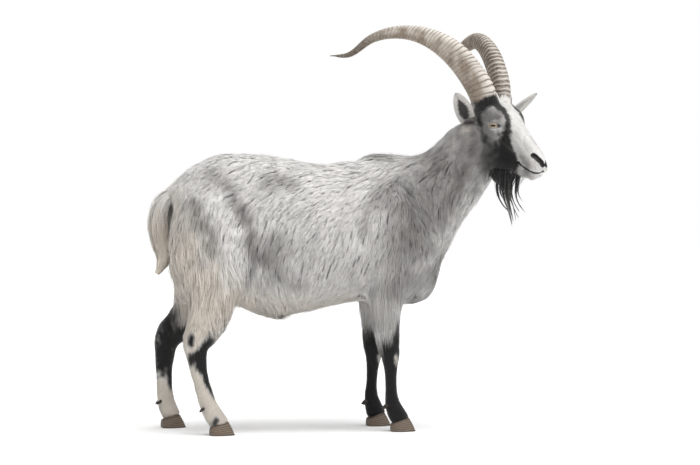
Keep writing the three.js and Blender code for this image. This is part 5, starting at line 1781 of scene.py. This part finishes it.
# %% Beard
BEARD_MIDDLE = np.array([652.8, -142.6, 762.0])
BEARD_ROWS = [
    (-66, -66, -64, -60, 746, 3, 60), (-56, -57, -54, -48, 738, 3, 70), (-44, -46, -43, -38, 728, 3, 60),
    (-52, -66, -55, -15, 648, 1, 60), (-44, -56, -46, -20, 676, 1, 44), (-28, -33, -16, 0, 613, 2, 76),
    (-16, -24, -8, 4, 622, 3, 70), (6, -6, 6, 34, 638, 2, 66), (24, 12, 22, 56, 643, 1, 64),
    (38, 26, 26, 46, 680, 1, 40),
]
COPIES = {1: (0,), 2: (0, 1), 3: (-1, 0, 1)}  # how far to the near side each copy stands
BEARD_LEVELS = np.linspace(0, 1, 8)
HOLD = 24  # a strand starts on the jaw where that is nearer than this


def make_beard():
    """The beard's strands, as one piece."""
    dice = np.random.default_rng(21)
    lines, widths, shades, uvs, sides = [], [], [], [], []
    for row, (jaw, third, two_thirds, tip_ahead, tip_high, copies, strands) in enumerate(BEARD_ROWS):
        for copy in COPIES[copies]:
            slip = dice.uniform(-5, 5, 2)
            low = tip_high + (0 if copy == 1 else dice.uniform(0, 26))
            knots = [jaw, third + slip[0], two_thirds + slip[1], tip_ahead + slip[1]]
            drop = low - BEARD_MIDDLE[2]
            heights = [0, 0.33 * drop, 0.66 * drop, drop]
            out = [15 * copy, 10 * copy, 6 * copy, 4 * copy + dice.uniform(-2, 2)]
            offsets = zip(knots, heights, out)
            places = [BEARD_MIDDLE + ahead * a + up * h + to_right * o for a, h, o in offsets]
            guide, _, _ = smooth_line(places, len(BEARD_LEVELS))
            for s in range(strands):
                spot = guide[0] + ahead * dice.normal(0, 9) + to_right * dice.normal(0, 7)
                spot = spot + up * dice.uniform(12, 38)
                near, _, index, _ = coat_tree.find_nearest(spot)
                start = np.array(near) if (near - Vector(spot)).length < HOLD else spot
                short = (0.45 + 0.25 * dice.random()) if s % 3 == 0 else 1 - 0.3 * dice.random() ** 2
                line = []
                loose = dice.normal(0, 2.2 if s % 3 == 0 else 1.0, 3)
                for t in BEARD_LEVELS:
                    on_guide = np.array([np.interp(t * short, BEARD_LEVELS, guide[:, k]) for k in range(3)])
                    apart = (start - guide[0]) * (1 - t) ** 3.2
                    line.append(on_guide + apart + loose * (1 - 0.5 * t) * min(1, 3 * t))
                lines.append(line)
                widths.append(dice.uniform(0.7, 1.2))
                shades.append(0.42 + 0.2 * (row % 3) / 2 + 0.2 * dice.random())
                uvs.append(skin_uv[corner_of[index]].mean(0))
                side = to_right * (0.4 * copy + dice.normal(0, 0.4)) + ahead * dice.normal(0, 0.5)
                sides.append(unit(side - up * 0.01))
    lines = np.array(lines).transpose(1, 0, 2)
    normals = np.repeat(np.array(sides)[None], len(lines), axis=0)
    fade = np.interp(BEARD_LEVELS, [0.3, 1], [1.0, 0.72])[:, None, None]  # the tips are paler
    marks = np.broadcast_to(PURE_BLACK * fade, lines.shape)
    widths, shades, uvs = np.array(widths), np.array(shades), np.array(uvs)
    return spindles("beard_locks", lines, normals, widths, marks, shades, uvs,
                    seed=77, blend=0.5)


beard = make_beard()
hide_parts("beard")

# %% [markdown]
# ## Finishes
# Materials are small networks of nodes. A helper that adds a node, sets its values and wires its
# inputs in one call keeps each network short enough to read.

# %% Node helpers
def wire(tree, kind, inputs=None, **settings):
    """A new node with its settings, and with values or links on its inputs."""
    node = tree.nodes.new(kind)
    for key, value in settings.items():
        setattr(node, key, value)
    for key, value in (inputs or {}).items():
        socket = node.inputs[key]
        if isinstance(value, bpy.types.NodeSocket):
            tree.links.new(value, socket)
        else:
            socket.default_value = value
    return node


def blend_colours(tree, amount, first, second, mode="MIX"):
    """The colour between two, by an amount."""
    inputs = {0: amount, 6: first, 7: second}
    return wire(tree, "ShaderNodeMix", inputs, data_type="RGBA", blend_type=mode).outputs[2]


def math_node(tree, how, first, second=0.0, third=0.0):
    """One step of arithmetic."""
    return wire(tree, "ShaderNodeMath", {0: first, 1: second, 2: third}, operation=how).outputs[0]


def times(tree, first, second):
    """One number times another."""
    return math_node(tree, "MULTIPLY", first, second)


def far_out(tree, first, second):
    """The distance that two numbers at right angles make."""
    squares = math_node(tree, "ADD", times(tree, first, first), times(tree, second, second))
    return math_node(tree, "SQRT", squares)


def rise_node(tree, value, low, high, to_low=0.0, to_high=1.0):
    """A soft step of a value between low and high."""
    return wire(tree, "ShaderNodeMapRange", {0: value, 1: low, 2: high, 3: to_low, 4: to_high},
                interpolation_type="SMOOTHSTEP").outputs[0]


def noise_node(tree, vector, scale, detail=3.0):
    """Smooth noise of about 0 to 1."""
    return wire(tree, "ShaderNodeTexNoise", {"Vector": vector, "Scale": scale, "Detail": detail}).outputs[0]


def number(tree, label):
    """A number kept on the mesh."""
    return wire(tree, "ShaderNodeAttribute", attribute_name=label).outputs["Fac"]


def new_material(name, **constants):
    """A Principled material, with constant numbers on the shader's own sockets."""
    material = bpy.data.materials.new(name)
    material.use_nodes = True
    shader = material.node_tree.nodes["Principled BSDF"]
    for key, value in constants.items():
        shader.inputs[key.replace("_", " ").title().replace("Ior", "IOR")].default_value = value
    return material, material.node_tree, shader


def paint(shader, colour):
    """Feeds a colour to the shader."""
    shader.id_data.links.new(colour, shader.inputs["Base Color"])


def bumped(tree, shader, height, strength, distance):
    """Feeds a height in metres to the shader's normal."""
    bump = wire(tree, "ShaderNodeBump", {"Height": height, "Strength": strength, "Distance": distance})
    tree.links.new(bump.outputs[0], shader.inputs["Normal"])


def open_group(name, inputs, outputs):
    """A new node group with its sockets, and the nodes that stand for its two ends."""
    group = bpy.data.node_groups.new(name, "ShaderNodeTree")
    for sockets, way in ((inputs, "INPUT"), (outputs, "OUTPUT")):
        for label, kind in sockets.items():
            group.interface.new_socket(label, in_out=way, socket_type="NodeSocket" + kind)
    return group, wire(group, "NodeGroupInput"), wire(group, "NodeGroupOutput")


def dress(pieces, finish):
    """Gives pieces a material."""
    for piece in pieces:
        piece.data.materials.append(finish)


def srgb(red, green, blue):
    """A colour told in 0 to 255, as the linear colour that a socket takes."""
    shares = (red / 255, green / 255, blue / 255)
    return (*(v / 12.92 if v <= 0.0404 else ((v + 0.055) / 1.055) ** 2.4 for v in shares), 1.0)


# %% [markdown]
# Skin and tufts take their colour from one group. It turns the amounts of black, cream and grey into
# colours, makes each lock a little lighter or darker, and darkens hair toward its root, where less
# light reaches. Both materials place the same group, so skin seen between tufts never shows as a
# different animal.

# %% The coat's colours
SILVER, GREY, CREAM, BLACK = srgb(236, 234, 230), srgb(112, 108, 105), srgb(214, 203, 188), srgb(27, 26, 26)


def coat_colour_group():
    """A group that gives the colour of the coat from its amounts and shade."""
    inputs = {"Amounts": "Color", "Shade": "Float", "Along": "Float", "Place": "Vector"}
    group, start, end = open_group("coat_colours", inputs, {"Colour": "Color"})
    parts = wire(group, "ShaderNodeSeparateColor", {0: start.outputs["Amounts"]})
    colour = blend_colours(group, parts.outputs[2], SILVER, GREY)
    colour = blend_colours(group, parts.outputs[1], colour, CREAM)
    colour = blend_colours(group, parts.outputs[0], colour, BLACK)
    fine = noise_node(group, start.outputs["Place"], 190.0, 2.0)
    tone = math_node(group, "MULTIPLY_ADD", start.outputs["Shade"], 0.62, 0.50)
    tone = math_node(group, "MULTIPLY_ADD", fine, 0.24, tone)
    tone = times(group, tone, rise_node(group, start.outputs["Along"], -0.1, 0.5, 0.90, 1.0))
    grey = wire(group, "ShaderNodeCombineColor", {0: tone, 1: tone, 2: tone}).outputs[0]
    colour = blend_colours(group, 1.0, colour, grey, "MULTIPLY")
    group.links.new(colour, end.inputs["Colour"])
    return group


coat_colours = coat_colour_group()


def coat_material(name, along, roughness):
    """Hair: the coat's colours with a soft sheen."""
    material, tree, shader = new_material(name, roughness=roughness, sheen_weight=0.30, sheen_roughness=0.5)
    shader.inputs["Specular IOR Level"].default_value = 0.22
    amounts = wire(tree, "ShaderNodeAttribute", attribute_name="marks")
    place = wire(tree, "ShaderNodeTexCoord").outputs["Object"]
    colours = wire(tree, "ShaderNodeGroup", node_tree=coat_colours)
    tree.links.new(amounts.outputs["Color"], colours.inputs["Amounts"])
    tree.links.new(amounts.outputs["Alpha"], colours.inputs["Shade"])
    tree.links.new(place, colours.inputs["Place"])
    if along:
        tree.links.new(number(tree, "along"), colours.inputs["Along"])
    else:
        colours.inputs["Along"].default_value = 0.55
    paint(shader, colours.outputs[0])
    return material, tree, shader, place


hair, *_ = coat_material("hair", True, 0.62)
dress(coats + [beard], hair)

# %% [markdown]
# Under the tufts, and almost alone on the muzzle, the skin carries short fur as fine bumps. The
# rims of the lids are bare and a little wet, so they are smoother there, and nostrils and mouth go
# to black inside, as painted shade.

# %% Skin
skin_finish, tree, shader, place = coat_material("short_fur", False, 0.75)
downward = wire(tree, "ShaderNodeMapping", {"Vector": place, "Scale": (1.0, 1.0, 0.35)}).outputs[0]
short = noise_node(tree, downward, 900.0, 2.0)
bumped(tree, shader, short, 0.5, 0.0012)
bare_and_shade = number(tree, "bare_and_shade")
tree.links.new(rise_node(tree, bare_and_shade, 0.2, 1.0, 0.75, 0.42), shader.inputs["Roughness"])
fur = shader.inputs["Base Color"].links[0].from_socket
# painted shade: near black deep in the mouth and nostrils
paint(shader, blend_colours(tree, rise_node(tree, bare_and_shade, 1.0, 1.9), fur, srgb(6, 5, 5)))
skin.data.materials.clear()
dress([skin], skin_finish)
skin.data.polygons.foreach_set("material_index", [0] * len(skin.data.polygons))

# %% [markdown]
# The eye is one glossy ball. The pupil is a level bar with round ends, the iris is pale gold with
# spokes, and a dark ring closes it. All three are drawn by distances from the two numbers on the mesh.

# %% Eye finish
PUPIL_HALF_LONG, PUPIL_EDGE, IRIS_EDGE = 4.9, (3.0, 3.7), (10.2, 12.4)  # millimetres over the ball


def eye_material():
    """Wet gloss over a gold iris with a bar for a pupil."""
    material, tree, shader = new_material("eye_gloss", roughness=0.08, coat_weight=1.0, coat_roughness=0.02)
    across, tall = number(tree, "across"), number(tree, "tall")
    past_ends = math_node(tree, "SUBTRACT", math_node(tree, "ABSOLUTE", across), PUPIL_HALF_LONG)
    bar = far_out(tree, math_node(tree, "MAXIMUM", past_ends, 0.0), tall)
    pupil = rise_node(tree, bar, *PUPIL_EDGE, 1.0, 0.0)
    ring = far_out(tree, across, tall)
    spoke, outward = times(tree, math_node(tree, "ARCTAN2", tall, across), 9.0), times(tree, ring, 0.25)
    fibres = noise_node(tree, wire(tree, "ShaderNodeCombineXYZ", {0: spoke, 1: outward}).outputs[0], 3.0)
    iris = blend_colours(tree, fibres, srgb(140, 118, 84), srgb(196, 178, 142))
    iris = blend_colours(tree, rise_node(tree, ring, *IRIS_EDGE), iris, srgb(46, 36, 26))
    paint(shader, blend_colours(tree, pupil, iris, srgb(8, 8, 9)))
    return material


dress(eyes, eye_material())

# %% [markdown]
# Horn and hoof are the same stuff, keratin, grown in rings. One group gives both their fine streaks
# and blotches, and each material adds its own ring pattern from the numbers kept on its mesh.

# %% Horn and hoof
# the paler front and browner rear of a horn are painted light and shade, and the brown of its grooves is
# painted shade
TAN, PALE_HORN, LIT_FRONT_PALE = srgb(132, 118, 103), srgb(194, 185, 174), srgb(218, 213, 205)
SHADED_REAR_BROWN = srgb(116, 99, 82)
GROOVE_SHADE_BROWN, TIP_BROWN, STREAK_PALE = srgb(88, 72, 58), srgb(84, 73, 62), srgb(222, 216, 206)


def keratin_group():
    """A group with streaks along the growth and soft blotches."""
    group, start, end = open_group("keratin", {"Place": "Vector", "Streak Size": "Float"},
                                   {"Streaks": "Float", "Blotches": "Float"})
    settings = {"Vector": start.outputs[0], "Scale": start.outputs[1], "Detail": 6.0, "Roughness": 0.65}
    group.links.new(wire(group, "ShaderNodeTexNoise", settings).outputs[0], end.inputs[0])
    group.links.new(noise_node(group, start.outputs[0], 22.0, 3.0), end.inputs[1])
    return group


keratin = keratin_group()


def keratin_material(name, size, roughness):
    """The start of a keratin material: its two noises and its shader."""
    material, tree, shader = new_material(name, roughness=roughness)
    shader.inputs["Specular IOR Level"].default_value = 0.35
    group = wire(tree, "ShaderNodeGroup", node_tree=keratin)
    tree.links.new(wire(tree, "ShaderNodeTexCoord").outputs["Object"], group.inputs[0])
    group.inputs[1].default_value = size
    return material, tree, shader, group.outputs[0], group.outputs[1]


def horn_material():
    """Pale grey-tan ridges with brown painted shade in the grooves, a paler lit front and a browner shaded
    rear, darker toward the tip.
    """
    material, tree, shader, streaks, blotches = keratin_material("horn_keratin", 160.0, 0.5)
    groove, front, along = number(tree, "groove"), number(tree, "front"), number(tree, "along")
    body = blend_colours(tree, rise_node(tree, blotches, 0.35, 0.62), TAN, PALE_HORN)
    # painted light: the front of the horn, its upper edge, paler, and its rear, the underside, browner
    body = blend_colours(tree, rise_node(tree, front, 0.55, 0.15, 0.0, 0.55), body, SHADED_REAR_BROWN)
    body = blend_colours(tree, rise_node(tree, front, 0.6, 0.95, 0.0, 0.7), body, LIT_FRONT_PALE)
    # painted shade: the grooves between the ridges go brown where they lie deep
    groove_shade = times(tree, rise_node(tree, groove, 0.08, 0.55), rise_node(tree, streaks, 0.3, 0.6, 0.35, 1.0))
    body = blend_colours(tree, groove_shade, body, GROOVE_SHADE_BROWN)
    body = blend_colours(tree, rise_node(tree, along, 0.50, 0.84, 0.0, 0.92), body, TIP_BROWN)
    paint(shader, blend_colours(tree, rise_node(tree, streaks, 0.35, 0.75, 0.0, 0.22), body, STREAK_PALE))
    bumped(tree, shader, streaks, 0.35, 0.0012)
    return material


def hoof_material(name, low, high, edge):
    """Tan-brown growth bands over a dark worn edge."""
    material, tree, shader, streaks, blotches = keratin_material(name, 240.0, 0.55)
    along = number(tree, "along")
    bands = math_node(tree, "SINE", math_node(tree, "MULTIPLY_ADD", along, 34.0, times(tree, blotches, 3.0)))
    body = blend_colours(tree, rise_node(tree, bands, -1.0, 1.0), low, high)
    body = blend_colours(tree, rise_node(tree, along, 0.16, 0.0, 0.0, 0.85), body, edge)
    paint(shader, blend_colours(tree, rise_node(tree, streaks, 0.4, 0.75, 0.0, 0.35), body, edge))
    bumped(tree, shader, math_node(tree, "ADD", times(tree, bands, 0.4), streaks), 0.4, 0.0008)
    return material


dress(horns, horn_material())
hoof_finish = hoof_material("hoof_keratin", srgb(90, 77, 66), srgb(126, 113, 100), srgb(50, 42, 36))
dew_finish = hoof_material("dewclaw_keratin", srgb(40, 36, 33), srgb(62, 54, 48), srgb(24, 22, 21))
dress(claws[:len(FEET)], hoof_finish)
dress(claws[len(FEET):], dew_finish)
print("finishes", [m.name for m in bpy.data.materials])

# %% [markdown]
# ## Floor, light and camera
# The stage is a plain pale floor under an even pale sky. One broad lamp above and in front of the
# goat gives soft shadows under the belly, as in a studio, and a weak one fills from the head's side.

# %% Stage and light
bpy.data.objects.remove(hull)
scene = bpy.context.scene
FLOOR_HALF = 60  # metres
floor_corners = [(x * FLOOR_HALF, y * FLOOR_HALF, 0) for x, y in ((-1, -1), (1, -1), (1, 1), (-1, 1))]
floor = object_from("floor", floor_corners, [(0, 1, 2, 3)], smooth=False)
floor_finish, tree, shader = new_material("pale_floor", roughness=0.9)
grain = noise_node(tree, wire(tree, "ShaderNodeTexCoord").outputs["Object"], 40.0)
paint(shader, blend_colours(tree, grain, (0.90, 0.90, 0.90, 1), (0.93, 0.93, 0.93, 1)))
shader.inputs["Specular IOR Level"].default_value = 0.0
dress([floor], floor_finish)

world = bpy.data.worlds.new("studio")
scene.world = world
world.use_nodes = True
sky = world.node_tree.nodes["Background"]
SKY_LIGHT, SKY_SEEN = 0.44, 1.0  # its strength as a lamp, and as the camera sees it
seen = wire(world.node_tree, "ShaderNodeLightPath").outputs["Is Camera Ray"]
sky.inputs["Color"].default_value = (1, 1, 1, 1)
strength = math_node(world.node_tree, "MULTIPLY_ADD", seen, SKY_SEEN - SKY_LIGHT, SKY_LIGHT)
world.node_tree.links.new(strength, sky.inputs["Strength"])


def add_sun(name, energy, spread, toward):
    """A soft distant lamp that shines along a direction."""
    lamp = bpy.data.lights.new(name, "SUN")
    lamp.energy, lamp.angle = energy, math.radians(spread)
    piece = in_scene(name, lamp)
    piece.rotation_euler = Vector(toward).to_track_quat("-Z", "Y").to_euler()


add_sun("key", 3.2, 60, (-0.10, 0.27, -1.0))
add_sun("fill", 0.30, 70, (-0.9, 0.6, -0.35))

# %% [markdown]
# The camera stands level, a little behind the goat's right side, about six and a half metres away.

# %% Camera
CAMERA_AT = (-737.3, -6510.8, 599)
CAMERA_TURN = -8  # degrees from square on
LENS, SENSOR = 110.98, 36
lens = bpy.data.cameras.new("camera")
lens.lens, lens.sensor_width, lens.clip_end = LENS, SENSOR, 200
camera = in_scene("camera", lens)
camera.location = on_goat(CAMERA_AT)
camera.rotation_euler = (math.pi / 2, 0, math.radians(CAMERA_TURN))
scene.camera = camera
scene.view_settings.view_transform = "Standard"

# %% Sizes
print("triangles", sum(len(p.data.loop_triangles) for p in [skin, beard] + coats + horns + eyes + claws))
